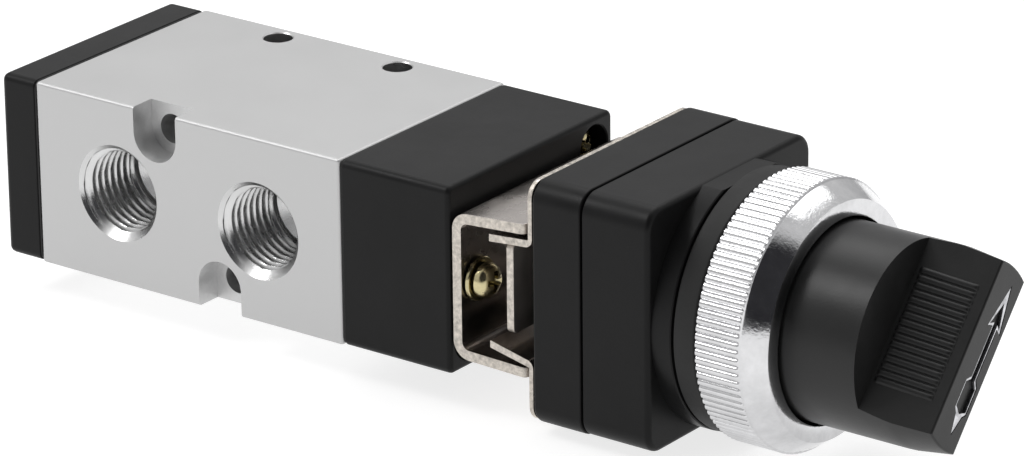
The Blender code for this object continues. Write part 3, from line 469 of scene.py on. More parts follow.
def lofted(sections, loop=False):
    """Rings of as many points each, joined in order, and closed at both ends unless they loop."""
    form = bmesh.new()
    rings = [[form.verts.new(point) for point in ring] for ring in sections]
    following = rings[1:] + (rings[:1] if loop else [])
    for first, second in zip(rings, following):
        for i in range(len(first)):
            j = (i + 1) % len(first)
            form.faces.new((first[i], first[j], second[j], second[i]))
    if not loop:
        form.faces.new(rings[0])
        form.faces.new(rings[-1])
    return form


def around(x, radius, steps, phase=0.0):
    """A ring of points about the X axis; the radius is a number or a function of the angle."""
    ring = []
    for step in range(steps):
        angle = phase + math.tau * step / steps
        r = radius(angle) if callable(radius) else radius
        ring.append((x, r * math.cos(angle), r * math.sin(angle)))
    return ring


def turned(profile, steps=96, loop=False):
    """A profile of (x, radius) turned about the X axis."""
    return lofted([around(x, radius, steps) for x, radius in profile], loop)


def arc(center_x, center_z, radius, start, end, steps=10):
    """Points (x, z) on a circle, from one angle in degrees to another."""
    points = []
    for step in range(steps + 1):
        angle = math.radians(start + (end - start) * step / steps)
        points.append((center_x + radius * math.cos(angle), center_z + radius * math.sin(angle)))
    return points


def outline(half_y, half_z, corner, steps):
    """A rectangle with rounded corners, as (y, z) points."""
    points = []
    for quarter, (side, sign) in enumerate(((1, 1), (-1, 1), (-1, -1), (1, -1))):
        for step in range(steps + 1):
            angle = math.radians(90 * (quarter + step / steps))
            y = side * (half_y - corner) + corner * math.cos(angle)
            z = sign * (half_z - corner) + corner * math.sin(angle)
            points.append((y, z))
    return points


def soft_block(start, end, half_y, half_z, corner, start_round, end_round, steps=6, end_steps=4):
    """A block along X with rounded corners and rounded or chamfered ends."""
    rows = []
    for x, inwards, rounding in ((start, 1, start_round), (end, -1, end_round)):
        for step in range(end_steps + 1):
            angle = math.radians(90 * step / end_steps)
            rows.append((x + inwards * rounding * (1 - math.sin(angle)), rounding * (1 - math.cos(angle))))
    sections = []
    for x, inset in sorted(rows):
        radius = max(corner - inset, SMALLEST_CORNER)
        sections.append([(x, y, z) for y, z in outline(half_y - inset, half_z - inset, radius, steps)])
    return lofted(sections)


def extruded(points, start, end):
    """An (x, z) outline drawn out along Y."""
    return lofted([[(x, y, z) for x, z in points] for y in (start, end)])


def hole(name, at, turn, radius, depth, steps=48, material=machined, deeper=None, mouth=0.0):
    """A cutter along local X: a bore, with a mouth and the (radius, end) of a deeper one where given."""
    profile = [(-OVERCUT, radius + mouth)]
    if mouth:
        profile += [(-mouth * MOUTH_LEAD, radius + mouth), (mouth, radius)]
    profile.append((depth, radius))
    if deeper:
        deeper_radius, deeper_end = deeper
        profile += [(depth, deeper_radius), (deeper_end, deeper_radius)]
    return make(name, turned(profile, steps), material, at=at, turn=turn)


def thread_hole(name, at, turn, port, steps):
    """A cutter for a tapped port: chamfered mouth, spiral thread, drill point and drilling to the bore."""
    minor, major, pitch, mouth, depth = port
    rows = int(depth / pitch * ROWS_PER_TURN)

    def radius_at(d):
        fade = min(1.0, (depth - d) / (RUN_OUT_TURNS * pitch))

        def radius(angle):
            phase = (d / pitch - angle / math.tau) % 1
            flank = min(max((1 - abs(2 * phase - 1) - THREAD_FLAT) / THREAD_FLANKS, 0.0), 1.0)
            rounded = 0.5 - 0.5 * math.cos(math.pi * flank)
            tooth = (flank + rounded) / 2
            return max(minor + (major - minor) * tooth * fade, mouth - d)

        return radius

    sections = [around(-OVERCUT, mouth + OVERCUT, steps)]
    for row in range(rows + 1):
        d = depth * row / rows
        sections.append(around(d, radius_at(d), steps))
    sections.append(around(depth + (minor - DRILLING) / 2, DRILLING, steps))
    sections.append(around(depth + DRILLING_LENGTH, DRILLING, steps))
    return make(name, lofted(sections), machined, at=at, turn=turn)


def span(node):
    """Where a node starts and ends along X."""
    low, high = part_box(node)
    return low.x, high.x


# Valve body, end caps

def build_body():
    low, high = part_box("valve_body")
    mid = (low.x + high.x) / 2
    form = soft_block(low.x, high.x, high.y, high.z, BODY_EDGE, BODY_EDGE, BODY_EDGE, steps=3, end_steps=3)
    body = make("body_block", form, aluminium)
    tools = [hole("bore", (low.x, 0, 0), AXIS_X, SPOOL_BORE, high.x - low.x + OVERCUT, 64)]
    for sign in (-1, 1):
        x = mid + sign * PORT_SPACING / 2
        tools.append(thread_hole("working", (x, low.y, 0), FROM_LEFT, WORKING_PORT, 96))
        x = mid + sign * EXHAUST_SPACING / 2
        tools.append(thread_hole("exhaust", (x, high.y, 0), FROM_RIGHT, EXHAUST_PORT, 64))
        side, up = SIDE_HOLE_AT
        at = (mid + sign * side, low.y, -sign * up)
        through = (SIDE_HOLE, high.y - low.y + OVERCUT)
        tools.append(hole("side_hole", at, FROM_LEFT, COUNTERBORE, COUNTERBORE_DEPTH, 64, milled, through))
        half, reach = COUNTERBORE, COUNTERBORE * NOTCH_REACH
        corners = [(-half, 0), (half, 0), (half, reach), (-half, reach)]
        notch = [(at[0] + x, at[2] - sign * z) for x, z in corners]
        tools.append(make("notch", extruded(notch, low.y - OVERCUT, low.y + COUNTERBORE_DEPTH), milled))
        along, y = TOP_HOLE_AT
        at = (mid + sign * along, y, high.z)
        depth = high.z - low.z + OVERCUT
        tools.append(hole("top_hole", at, FROM_ABOVE, TOP_HOLE, depth, mouth=TOP_HOLE_MOUTH))
        y, z = CAP_SCREW_AT
        for x, turn in ((low.x, AXIS_X), (high.x, FROM_FRONT)):
            at = (x, sign * y, sign * z)
            tools.append(hole("tapping", at, turn, CAP_TAPPING, CAP_TAPPING_DEPTH, 20))
    tools.append(thread_hole("supply", (mid, high.y, 0), FROM_RIGHT, WORKING_PORT, 64))
    cut(body, tools)
    settle(body, "valve", ["valve_body"])


def build_caps():
    """Both end caps, and the thin gasket in each one's seam with the body."""
    body_low, body_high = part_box("valve_body")
    for place, forwards in (("rear", False), ("front", True)):
        name, gasket_node = place + "_cap", place + "_gasket"
        low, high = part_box(name)
        if forwards:
            outside, inside = high.x, body_high.x + CAP_SEAM
            inwards, outwards = FROM_FRONT, AXIS_X
            start, end, rounds = inside, outside, (CAP_SEAM_ROUND, CAP_FRONT_ROUND)
        else:
            outside, inside = low.x, body_low.x - CAP_SEAM
            inwards, outwards = AXIS_X, FROM_FRONT
            start, end, rounds = outside, inside, (CAP_REAR_ROUND, CAP_SEAM_ROUND)
        cap = make(name + "_shell", soft_block(start, end, high.y, high.z, CAP_CORNER, *rounds), plastic)
        depth = FRONT_POCKET_DEPTH if forwards else REAR_POCKET_DEPTH
        past = end - start + OVERCUT
        tools = []
        for sign in (-1, 1):
            y, z = CAP_SCREW_AT
            at = (outside, sign * y, sign * z)
            through = (CAP_SCREW_HOLE, past)
            pocket = hole("pocket", at, inwards, CAP_POCKET, depth, 48, plastic, through, CAP_POCKET_MOUTH)
            tools.append(pocket)
            if forwards:
                at = (outside, sign * BRACKET_SCREW_Y, 0)
                tapping = hole("tapping", at, inwards, BRACKET_TAPPING, BRACKET_TAPPING_DEPTH, 24, plastic)
                tools.append(tapping)
        at = (inside, 0, 0)
        if forwards:
            through = (STEM_BORE, past)
            tools.append(hole("stem", at, outwards, STEM_HOUSING, STEM_HOUSING_DEPTH, 48, plastic, through))
        else:
            tools.append(hole("seat", at, outwards, SPRING_SEAT, SPRING_SEAT_DEPTH, 48, plastic))
        cut(cap, tools)
        settle(cap, "valve", [name])

        ends = sorted((inside, body_high.x if forwards else body_low.x))
        seal = soft_block(
            ends[0] + CAP_GASKET_GAP, ends[1] - CAP_GASKET_GAP,
            high.y - CAP_SEAM_INSET, high.z - CAP_SEAM_INSET,
            CAP_CORNER, CAP_GASKET_GAP / 2, CAP_GASKET_GAP / 2, 5, 1,
        )
        gasket = make(gasket_node + "_sheet", seal, rubber)
        bore = SPOOL_BORE + CAP_GASKET_CLEARANCE
        tools = [hole("bore", (ends[0], 0, 0), AXIS_X, bore, OVERCUT, 64, rubber)]
        for sign in (-1, 1):
            y, z = CAP_SCREW_AT
            at = (ends[0], sign * y, sign * z)
            tools.append(hole("screw", at, AXIS_X, CAP_SCREW_HOLE, OVERCUT, 24, rubber))
        cut(gasket, tools)
        settle(gasket, "valve", [gasket_node])


# Bracket

def mark_edges(piece, index, is_edge):
    """Gives the chosen faces the piece's material of that index."""
    for polygon in piece.data.polygons:
        if is_edge(polygon):
            polygon.material_index = index


def round_corners(form, wanted, radius, segments=5):
    edges = [edge for edge in form.edges if wanted(edge)]
    bmesh.ops.bevel(form, geom=edges, offset=radius, segments=segments, profile=0.5, affect="EDGES")


def build_channel():
    low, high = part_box("bracket_channel")
    tilt = {1: math.tan(math.radians(UPPER_FLANGE_TILT)), -1: math.tan(math.radians(LOWER_FLANGE_TILT))}
    x, tip, top, bend = low.x, high.x, high.z, CHANNEL_BEND
    inner = bend - CHANNEL_SHEET
    floor = top - CHANNEL_SHEET
    outer_side = arc(x + bend, top - bend, bend, 90, 180) + arc(x + bend, bend - top, bend, 180, 270)
    inner_side = arc(x + bend, bend - top, inner, 270, 180) + arc(x + bend, top - bend, inner, 180, 90)
    points = [(tip, top)] + outer_side + [(tip, -top), (tip, -floor)] + inner_side + [(tip, floor)]
    form = extruded(points, low.y, high.y)

    def is_tip_corner(edge):
        first, second = (vert.co for vert in edge.verts)
        return min(first.x, second.x) > tip - NEARLY and abs(first.y - second.y) < NEARLY

    round_corners(form, is_tip_corner, TIP_CORNER)
    for vert in form.verts:
        rise = max(0.0, vert.co.x - x - bend)
        if abs(vert.co.z) > floor - bend:
            sign = 1 if vert.co.z > 0 else -1
            vert.co.z += sign * rise * tilt[sign]
            vert.co.z -= UPPER_FLANGE_DROP if sign > 0 else 0.0
    channel = make("channel_sheet", form, nickel, sheared)

    def is_sheared(face):
        at_tip = face.normal.x > 0.7 and face.center.x > tip - TIP_CORNER
        return abs(face.normal.y) > 0.5 or at_tip

    mark_edges(channel, 1, is_sheared)
    bevel(channel, CHANNEL_EDGE)
    depth = CHANNEL_SHEET + OVERCUT
    tools = [hole("stem", (x, 0, 0), AXIS_X, CHANNEL_HOLE, depth, 48, sheared)]
    for sign in (-1, 1):
        at = (x, sign * BRACKET_SCREW_Y, 0)
        tools.append(hole("screw", at, AXIS_X, CHANNEL_SCREW_HOLE, depth, 24, sheared))
        turn = FROM_ABOVE if sign > 0 else FROM_BELOW
        at = (x + RIVET_X, 0, sign * (top + OVERCUT / 2))
        tools.append(hole("rivet", at, turn, RIVET_HOLE, depth, 24, sheared))
    cut(channel, tools)
    settle(channel, "valve", ["bracket_channel"])


def build_angle(name, sign, tongue_at, degrees):
    """A sheet angle: a leg against the base and a sloping tongue inside the channel."""
    low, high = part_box(name)
    back, sheet = high.x + LEG_SHIFT, LEG_SHEET
    leg_end = max(abs(low.z), abs(high.z))
    slope = math.tan(math.radians(degrees))
    root_x = back - TONGUE_BEND
    start_x = low.x
    lift = slope * (root_x - start_x)
    leg_root = tongue_at + lift + TONGUE_BEND
    inner = TONGUE_BEND - TONGUE_SHEET
    points = (
        [(start_x, tongue_at), (start_x, tongue_at + TONGUE_SHEET)]
        + arc(back - sheet - inner, leg_root, inner, 270, 360)
        + [(back - sheet, leg_end), (back, leg_end)]
        + arc(root_x, leg_root, TONGUE_BEND, 0, -90)
    )
    form = extruded([(x, sign * z) for x, z in points], low.y, high.y)

    def is_leg_corner(edge):
        first, second = (vert.co for vert in edge.verts)
        return min(sign * first.z, sign * second.z) > leg_end - NEARLY and abs(first.y - second.y) < NEARLY

    def is_tongue_corner(edge):
        first, second = (vert.co for vert in edge.verts)
        return max(first.x, second.x) < start_x + NEARLY and abs(first.y - second.y) < NEARLY

    round_corners(form, is_leg_corner, ANGLE_CORNER, 8)
    round_corners(form, is_tongue_corner, TIP_CORNER)
    angle = make(name + "_sheet", form, nickel, sheared)

    def is_sheared(face):
        at_leg_end = abs(face.normal.z) > 0.5 and abs(face.center.z) > leg_end - 10 * NEARLY
        return abs(face.normal.y) > 0.3 or at_leg_end

    mark_edges(angle, 1, is_sheared)
    bevel(angle, ANGLE_EDGE)
    tools = []
    for side in (-1, 1):
        y, z = BASE_SCREW_AT
        at = (back - sheet, side * y, sign * z)
        tools.append(hole("screw", at, AXIS_X, BASE_SCREW_HOLE, sheet + OVERCUT, 24, sheared))
    turn = FROM_ABOVE if sign > 0 else FROM_BELOW
    at = (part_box("bracket_channel")[0].x + RIVET_X, 0, sign * (tongue_at + 2 * TONGUE_SHEET))
    tools.append(hole("rivet", at, turn, RIVET_HOLE, 2 * TONGUE_SHEET + OVERCUT, 24, sheared))
    cut(angle, tools)
    settle(angle, "valve", [name])


def build_push_plate():
    low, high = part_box("push_plate")
    half_z = high.z - PLATE_LIFT
    form = soft_block(low.x, high.x, high.y, half_z, TIP_CORNER, PLATE_ROUND, PLATE_ROUND, 5, 2)
    form.transform(Matrix.Translation((0, 0, PLATE_LIFT)))
    sheet = make("push_plate_sheet", form, plate, sheared)
    mark_edges(sheet, 1, lambda face: abs(face.normal.x) < 0.5)
    settle(sheet, "follower", ["push_plate"])


# Screws

def cross_recess(at, turn, size, depth):
    """Two crossing tapered slots, as of a cross-head screw."""
    tools = []
    for along_y in (False, True):
        sections = []
        for x, scale in zip((-CROSS_LEAD, 0.0, depth), CROSS_TAPER):
            length, width = size * scale, size * CROSS_WIDTH * (0.5 + 0.5 * scale)
            a, b = (length, width) if along_y else (width, length)
            sections.append([(x, a, b), (x, -a, b), (x, -a, -b), (x, a, -b)])
        tools.append(make("recess", lofted(sections), gold, at=at, turn=turn))
    return tools


def build_screw(node, facing, sizes, material, spin):
    """A domed cross-head screw in the place of a plain one. Facing is +1 where its head looks along +X."""
    head, height, shank = sizes
    low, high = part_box(node)
    center = (low + high) / 2
    length = high.x - low.x
    top = high.x if facing > 0 else low.x
    profile = [(height * down, head * out) for down, out in DOME]
    profile += [(height, shank), (length - SCREW_TIP, shank), (length, shank * SCREW_TIP_SHARE)]
    turn = FROM_FRONT if facing > 0 else AXIS_X
    turn = turn @ Matrix.Rotation(math.radians(spin), 3, "X")
    at = (top, center.y, center.z)
    screw = make(node + "_cross_head", turned(profile, 40), material, at=at, turn=turn)
    cut(screw, cross_recess(at, turn, head * CROSS_SPAN, height * CROSS_DEPTH))
    settle(screw, "valve", [node])


def build_rivet(node, sign):
    """A domed rivet along Z, whose head is on the outside of the channel."""
    low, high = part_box(node)
    center = (low + high) / 2
    head, height, shank = RIVET_HEAD
    length = high.z - low.z
    profile = [(height * (1 - math.sin(angle)), head * math.cos(angle)) for angle in RIVET_ANGLES]
    profile += [(height, shank), (length - RIVET_TIP, shank), (length, shank - RIVET_TIP)]
    at = (center.x, center.y, high.z if sign > 0 else low.z)
    turn = FROM_ABOVE if sign > 0 else FROM_BELOW
    rivet = make(node + "_dome", turned(profile, 40), nickel, at=at, turn=turn)
    settle(rivet, "valve", [node])


def build_spring():
    """A round-wire spring with closed ends. In the valve it is squeezed towards the rear cap as the knob
    turns; here it is built at rest.
    """
    low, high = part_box("return_spring")
    wire = SPRING_WIRE
    mean = high.z - wire
    start, end = low.x + wire, high.x - wire
    steps = SPRING_TURNS * SPRING_STEPS
    rings = []
    for step in range(steps + 1):
        share = step / steps
        angle = math.tau * SPRING_TURNS * share
        open_share = min(max((share - CLOSED_END) / (1 - 2 * CLOSED_END), 0.0), 1.0)
        x = start + (end - start) * (CLOSED_PITCH * share + (1 - CLOSED_PITCH) * open_share)
        outwards = Vector((0, math.cos(angle), math.sin(angle)))
        ring = []
        for corner in range(SPRING_SIDES):
            turn = math.tau * corner / SPRING_SIDES
            place = Vector((x, 0, 0)) + outwards * (mean + wire * math.cos(turn))
            ring.append(place + Vector((wire * math.sin(turn), 0, 0)))
        rings.append(ring)
    spring = make("return_coil", lofted(rings), steel)
    settle(spring, "valve", ["return_spring"])
    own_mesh(spring)


def build_fasteners():
    inner, outer = WASHER
    edge = WASHER_EDGE
    for number in (1, 2):
        build_screw(f"bracket_screw_{number}", 1, BRACKET_HEAD, gold, BRACKET_SPIN)
        build_screw(f"front_cap_screw_{number}", 1, FRONT_CAP_HEAD, gold, FRONT_CAP_SPIN)
        build_screw(f"rear_cap_screw_{number}", -1, REAR_CAP_HEAD, gold, REAR_CAP_SPIN)
        low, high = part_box(f"bracket_washer_{number}")
        center = (low + high) / 2
        sheet = high.x - low.x
        profile = [
            (0, inner),
            (0, outer - edge),
            (edge, outer),
            (sheet - edge, outer),
            (sheet, outer - edge),
            (sheet, inner),
        ]
        at = (low.x, center.y, center.z)
        washer = make(f"bracket_washer_{number}_ring", turned(profile, 48, loop=True), gold, at=at)
        settle(washer, "valve", [f"bracket_washer_{number}"])
    for number in (1, 2, 3, 4):
        build_screw(f"base_screw_{number}", -1, BASE_HEAD, steel, BASE_SPIN * number)
    for name, sign in (("upper", 1), ("lower", -1)):
        build_rivet(f"bracket_rivet_{name}", sign)


# Switch base, gasket and ring nut

def base_screw_holes(name, x, depth):
    """Cutters for the four screws that hold the base's layers to the bracket."""
    y, z = BASE_SCREW_AT
    tools = []
    for side in (-1, 1):
        for sign in (-1, 1):
            at = (x, side * y, sign * z)
            tools.append(hole(name, at, AXIS_X, BASE_SCREW_HOLE, depth, 20, plastic))
    return tools


def build_base_rear():
    low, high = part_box("base_rear")
    form = soft_block(
        low.x, high.x, high.y, high.z, BASE_CORNER, BASE_REAR_ROUND, BASE_SEAM_ROUND, 10, 4,
    )
    rear = make("base_rear_layer", form, plastic)
    chamber_at = (low.x + PLUNGER_WALL + OVERCUT, 0, 0)
    tools = [
        hole("plunger", (low.x, 0, 0), AXIS_X, PLUNGER_BORE, PLUNGER_BORE_DEPTH, 48, plastic),
        hole("chamber", chamber_at, AXIS_X, SHAFT_BORE, high.x - low.x + OVERCUT, 48, plastic),
    ]
    cut(rear, tools + base_screw_holes("screw", low.x, BASE_REAR_DEPTH))
    settle(rear, "valve", ["base_rear"])


def trim_flat(form, plane_z):
    """Cuts a form off level, above a height or below a depth, and closes it."""
    everything = form.verts[:] + form.edges[:] + form.faces[:]
    outwards = (0, 0, math.copysign(1, plane_z))
    trimmed = bmesh.ops.bisect_plane(
        form, geom=everything, plane_co=(0, 0, plane_z), plane_no=outwards, clear_outer=True,
    )
    edges = [item for item in trimmed["geom_cut"] if isinstance(item, bmesh.types.BMEdge)]
    bmesh.ops.contextual_create(form, geom=edges)


def build_base_front():
    """The front layer with its collar, whose top and bottom are flat, and the neck for the ring nut."""
    low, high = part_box("base_front")
    collar_x = span("panel_gasket")[0] - COLLAR_GAP
    face_x = collar_x - COLLAR_LENGTH
    end_x = span("ring_nut")[0] + NECK_FROM_RING
    form = soft_block(
        low.x, face_x, high.y, high.z, BASE_CORNER, BASE_SEAM_ROUND, BASE_FRONT_ROUND, 10, 6,
    )
    front = make("base_front_layer", form, plastic)
    edge = COLLAR_EDGE
    profile = [
        (face_x - COLLAR_BURIED, COLLAR - edge),
        (face_x - COLLAR_BURIED + COLLAR_LEAD, COLLAR),
        (collar_x - edge, COLLAR),
        (collar_x, COLLAR - edge),
        (collar_x, NECK),
        (end_x - NECK_EDGE, NECK),
        (end_x, NECK - NECK_EDGE),
    ]
    collar = turned(profile, 160)
    for sign in (-1, 1):
        trim_flat(collar, sign * COLLAR_FLAT)
    cut(front, [make("collar", collar, plastic)], "UNION")
    chamber_x = face_x + CHAMBER_END
    wall_x = chamber_x + SHAFT_WALL
    inside = [
        (low.x - OVERCUT, CAM_CHAMBER),
        (chamber_x, CAM_CHAMBER),
        (chamber_x, SHAFT_BORE),
        (wall_x, SHAFT_BORE),
        (wall_x, NECK_BORE),
        (end_x + OVERCUT, NECK_BORE),
    ]
    tools = [make("inside", turned(inside), plastic)]
    cut(front, tools + base_screw_holes("tapping", low.x, BASE_FRONT_DEPTH))
    settle(front, "valve", ["base_front"])


def build_gasket():
    start, end = span("panel_gasket")
    inner, edge = RING_INNER, GASKET_EDGE
    shoulder = COLLAR - GASKET_INSET - edge
    bends = [(edge - edge * math.cos(angle), shoulder + edge * math.sin(angle)) for angle in GASKET_ANGLES]
    rising = [(start + along, radius) for along, radius in bends]
    falling = [(end - along, radius) for along, radius in bends[::-1]]
    profile = [(start, inner), (start, shoulder), *rising, *falling, (end, shoulder), (end, inner)]
    gasket = make("panel_seal", turned(profile, 160, loop=True), rubber)
    settle(gasket, "gasket", ["panel_gasket"])


def build_ring():
    """The ring nut: a knurl of round-bottomed grooves, a chamfer, and a flat front with a lip."""
    start, end = span("ring_nut")

    def grooved(amount):
        def radius(angle):
            u = 2 * abs((angle * TEETH / math.tau) % 1 - 0.5)
            return RING - amount * TOOTH_DEPTH * (1 - math.sqrt(1 - GROOVE_SHAPE * u * u))

        return radius

    steps = TEETH * STEPS_PER_TOOTH
    edge = RING_EDGE
    sections = [
        around(start, RING_INNER, steps),
        around(start, RING - KNURL_SHOULDER, steps),
    ]
    for along, amount in KNURL_START + KNURL_END:
        sections.append(around(start + along * MM, grooved(amount), steps))
    rim_x, lip_x = start + RIM_LENGTH, end - RING_LIP_LENGTH
    plain = [(rim_x + along * MM, BAND + out * MM) for along, out in BAND_LEAD]
    plain += [
        (end - edge, RING_FACE + edge * 0.5),
        (end - edge * 0.3, RING_FACE + FACE_SLOPE),
        (end, RING_FACE - edge),
        (end, RING_LIP + edge),
        (end - edge * 0.3, RING_LIP + edge * 0.3),
        (end - edge, RING_LIP),
        (lip_x, RING_LIP),
        (lip_x, RING_INNER),
    ]
    sections += [around(x, radius, steps) for x, radius in plain]
    ring = make("grip_ring", lofted(sections, loop=True), chrome)
    settle(ring, "ring", ["ring_nut"], 38)


# Knob

def blade_frame():
    """The turn about X that stands the blade at its angle."""
    return Matrix.Rotation(BLADE_ANGLE, 3, "X")


def rib_panel(side, blade_x, slope):
    """A patch of rounded ribs on one side of the blade, with its underside buried in the blade."""
    across_steps, along_steps = RIBS * RIB_STEPS, RIB_LENGTH_STEPS
    width = RIBS * RIB_PITCH

    def height(u, v):
        phase = abs((u / RIB_PITCH) % 1 - 0.5) * 2
        crest = math.sqrt(max(0.0, 1 - (phase / RIB_SHARE) ** 2))
        reach = min(v, RIB_LENGTH - v) / RIB_END
        ends = math.sqrt(max(0.0, 1 - (1 - min(reach, 1.0)) ** 2))
        return (RIB_PROUD + RIB_BURIED) * crest * ends - RIB_BURIED

    form = bmesh.new()
    grid = []
    for i in range(along_steps + 1):
        v = RIB_LENGTH * (0.5 - 0.5 * math.cos(math.pi * i / along_steps))
        row = []
        for j in range(across_steps + 1):
            u = width * j / across_steps
            row.append(form.verts.new((v, u - width / 2, height(u, v))))
        grid.append(row)
    for i in range(along_steps):
        for j in range(across_steps):
            form.faces.new((grid[i][j], grid[i][j + 1], grid[i + 1][j + 1], grid[i + 1][j]))
    drawn = bmesh.ops.extrude_face_region(form, geom=form.faces[:])
    for item in drawn["geom"]:
        if isinstance(item, bmesh.types.BMVert):
            item.co.z = -RIB_BASE
    bmesh.ops.recalc_face_normals(form, faces=form.faces)
    lean = Matrix.Rotation(slope, 3, "Y")
    flip = Matrix.Rotation(0 if side > 0 else math.pi, 3, "X")
    turn = blade_frame() @ flip
    start = Vector((blade_x + RIB_START, 0, BLADE_ROOT - RIB_START * math.tan(slope)))
    return make("ribs", form, knob_plastic, at=turn @ start, turn=turn @ lean)


def arrow_ring(half, x, fit=(1, 1)):
    """An arrow's whole outline at x, from its half outline."""
    half = [(along * MM * fit[0], across * MM * fit[1]) for along, across in half]
    points = half + [(along, -across) for along, across in reversed(half[1:-1])]
    return [(x, along, across - ARROW_ASIDE) for along, across in points]


def build_knob():
    """A tapered cylinder cut away on both sides of its blade, with ribs on the blade's flanks."""
    start, end = span("knob")
    blade_x = end - BLADE_LENGTH
    slope = math.atan2(BLADE_ROOT - BLADE_TIP, BLADE_LENGTH)
    profile = [
        (start, KNOB - KNOB_REAR_EDGE),
        (start + KNOB_REAR_EDGE, KNOB),
        (end - TAPER_LENGTH - TAPER_BLEND, KNOB),
        (end - TAPER_LENGTH + TAPER_BLEND, KNOB - TAPER_DROP),
        *arc(end - KNOB_ROUND, KNOB_TIP - KNOB_ROUND, KNOB_ROUND, 90, 0, 5),
    ]
    knob = make("selector_grip", turned(profile, 144), knob_plastic)
    tools = []
    clear = KNOB + CLEARANCE
    # Each wedge follows the rounded edge between flank and end, and leaves through the end at a slant
    round_x = end - KNOB_ROUND
    round_z = BLADE_TIP + KNOB_ROUND * (math.tan(slope) - 1 / math.cos(slope))
    rounding = arc(round_x, round_z, KNOB_ROUND, EXIT_DEGREES, 90 - math.degrees(slope), 6)
    for side in (-1, 1):
        points = [
            (blade_x, BLADE_ROOT),
            (blade_x, clear),
            (end + OVERCUT, clear),
            (end + OVERCUT, round_z - EXIT_RUN * OVERCUT),
            *rounding,
        ]
        flank = [(x, side * z) for x, z in points]
        tools.append(make("wedge", extruded(flank, -clear, clear), knob_plastic, turn=blade_frame()))
    cut(knob, tools)
    cut(knob, [rib_panel(side, blade_x, slope) for side in (-1, 1)], "UNION")
    length = end - start
    socket = [
        (-OVERCUT, SOCKET),
        (length - SOCKET_FROM_END, SOCKET),
        (length - SOCKET_FROM_END, SCREW_HOLE),
        (length - SCREW_SEAT_FROM_END, SCREW_HOLE),
        (length - SCREW_SEAT_FROM_END, SCREW_WELL),
        (length - WELL_FROM_END, SCREW_WELL),
    ]
    recess = lofted([arrow_ring(ARROW_OUTER, x) for x in (end - ARROW_RECESS, end + OVERCUT)])
    tools = [
        make("socket", turned(socket, 48), knob_plastic, at=(start, 0, 0)),
        make("recess", recess, knob_plastic, turn=blade_frame()),
    ]
    cut(knob, tools)
    settle(knob, "selector", ["knob"], 34)


def build_arrow():
    """The inlay: an arrow-shaped frame in the recess of the blade's end."""
    end = span("knob")[1]
    bottom, top = end - ARROW_BOTTOM, end - ARROW_TOP
    sections = [
        arrow_ring(ARROW_OUTER, bottom, ARROW_FIT),
        arrow_ring(ARROW_OUTER, top, ARROW_FIT),
        arrow_ring(ARROW_INNER, top),
        arrow_ring(ARROW_INNER, bottom),
    ]
    arrow = make("pointer_inlay", lofted(sections, loop=True), inlay, turn=blade_frame())
    bevel(arrow, ARROW_EDGE, angle=50)
    settle(arrow, "selector", ["knob_arrow"])


build_body()
build_caps()
build_channel()
build_angle("bracket_angle_upper", 1, *UPPER_TONGUE)
build_angle("bracket_angle_lower", -1, *LOWER_TONGUE)
build_push_plate()
build_fasteners()
build_spring()
build_base_rear()
build_base_front()
build_gasket()
build_ring()
build_knob()
build_arrow()

# CAD nodes that stay get the detailed finishes
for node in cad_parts.values():
    for material_slot in node.material_slots:
        plain = material_slot.material.name.split(".")[0] if material_slot.material else ""
        if plain in FINISHES:
            material_slot.material = FINISHES[plain]


# Floor, light and camera

def build_stage():
    form = bmesh.new()
    bmesh.ops.create_grid(form, x_segments=1, y_segments=1, size=FLOOR_SIZE)
    floor = make("floor", form, floor_paper, at=(0, 0, start_bounds[0][2] - FLOOR_GAP))


def area_light(name, place, width, height, power):
    """A rectangular lamp that faces the object."""
    light = bpy.data.lights.new(name, "AREA")
    light.shape = "RECTANGLE"
    light.size = width
    light.size_y = height
    light.energy = power
    lamp = bpy.data.objects.new(name, light)
    lamp.location = place
    lamp.rotation_euler = (-Vector(place)).to_track_quat("-Z", "Y").to_euler()
    bpy.context.scene.collection.objects.link(lamp)


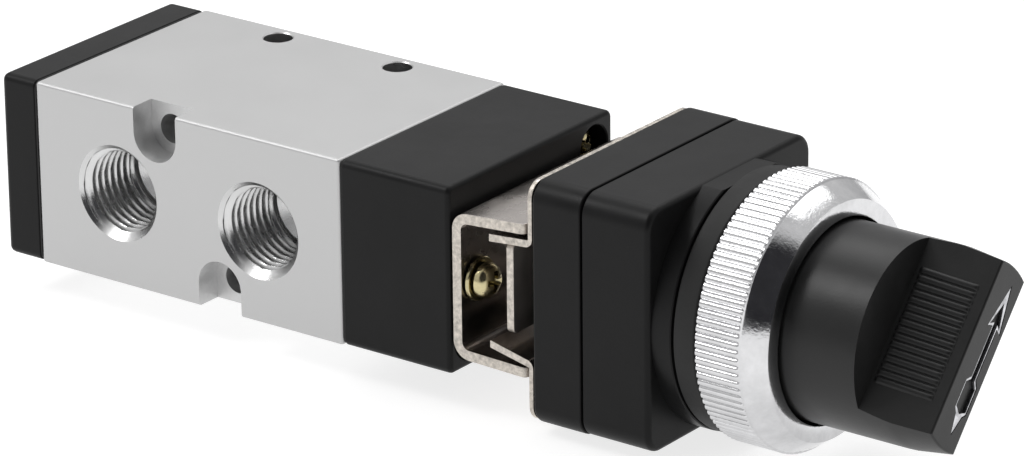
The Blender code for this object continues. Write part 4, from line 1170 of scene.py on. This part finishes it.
def build_world():
    """A studio dome: dimmer near the horizon, and dark around DARK_SIDE."""
    world = bpy.data.worlds.new("studio")
    bpy.context.scene.world = world
    world.use_nodes = True
    tree = world.node_tree
    link = tree.links.new
    coords = tree.nodes.new("ShaderNodeTexCoord")
    split = tree.nodes.new("ShaderNodeSeparateXYZ")
    height = two_stop_ramp(tree, HORIZON_SHADE, (1, 1, 1), 0.0, HORIZON_TOP)
    toward = add_node(tree, "ShaderNodeVectorMath", operation="DOT_PRODUCT")
    toward.inputs[1].default_value = DARK_SIDE
    shade = two_stop_ramp(tree, (1, 1, 1), DARK_SHADE, DARK_FROM, DARK_FULL)
    both = add_node(tree, "ShaderNodeMixRGB", blend_type="MULTIPLY", Fac=1.0)
    link(coords.outputs["Generated"], split.inputs[0])
    link(coords.outputs["Generated"], toward.inputs[0])
    link(split.outputs["Z"], height.inputs["Fac"])
    link(toward.outputs["Value"], shade.inputs["Fac"])
    link(height.outputs["Color"], both.inputs["Color1"])
    link(shade.outputs["Color"], both.inputs["Color2"])
    link(both.outputs["Color"], tree.nodes["Background"].inputs["Color"])
    tree.nodes["Background"].inputs["Strength"].default_value = WORLD_STRENGTH


def build_camera():
    azimuth, elevation = math.radians(CAMERA_AZIMUTH), math.radians(CAMERA_ELEVATION)
    roll = math.radians(CAMERA_ROLL)
    back = Vector((
        math.sin(azimuth) * math.cos(elevation),
        -math.cos(azimuth) * math.cos(elevation),
        math.sin(elevation),
    ))
    forwards = -back
    right = forwards.cross(Vector((0, 0, 1))).normalized()
    down = forwards.cross(right)
    c, s = math.cos(roll), math.sin(roll)
    view = Matrix(((c, -s, 0), (s, c, 0), (0, 0, 1))) @ Matrix((right, down, forwards))
    lens = bpy.data.cameras.new("camera")
    lens.sensor_width = CAMERA_SENSOR
    lens.lens = CAMERA_LENS
    lens.clip_end = CAMERA_REACH
    camera = bpy.data.objects.new("camera", lens)
    bpy.context.scene.collection.objects.link(camera)
    turn = Matrix((view[0], -view[1], -view[2])).transposed()
    camera.matrix_world = Matrix.Translation(CAMERA_AT) @ turn.to_4x4()
    bpy.context.scene.camera = camera


build_stage()
build_world()
for lamp in LAMPS:
    area_light(*lamp)
build_camera()
bpy.context.scene.view_settings.view_transform = "Standard"
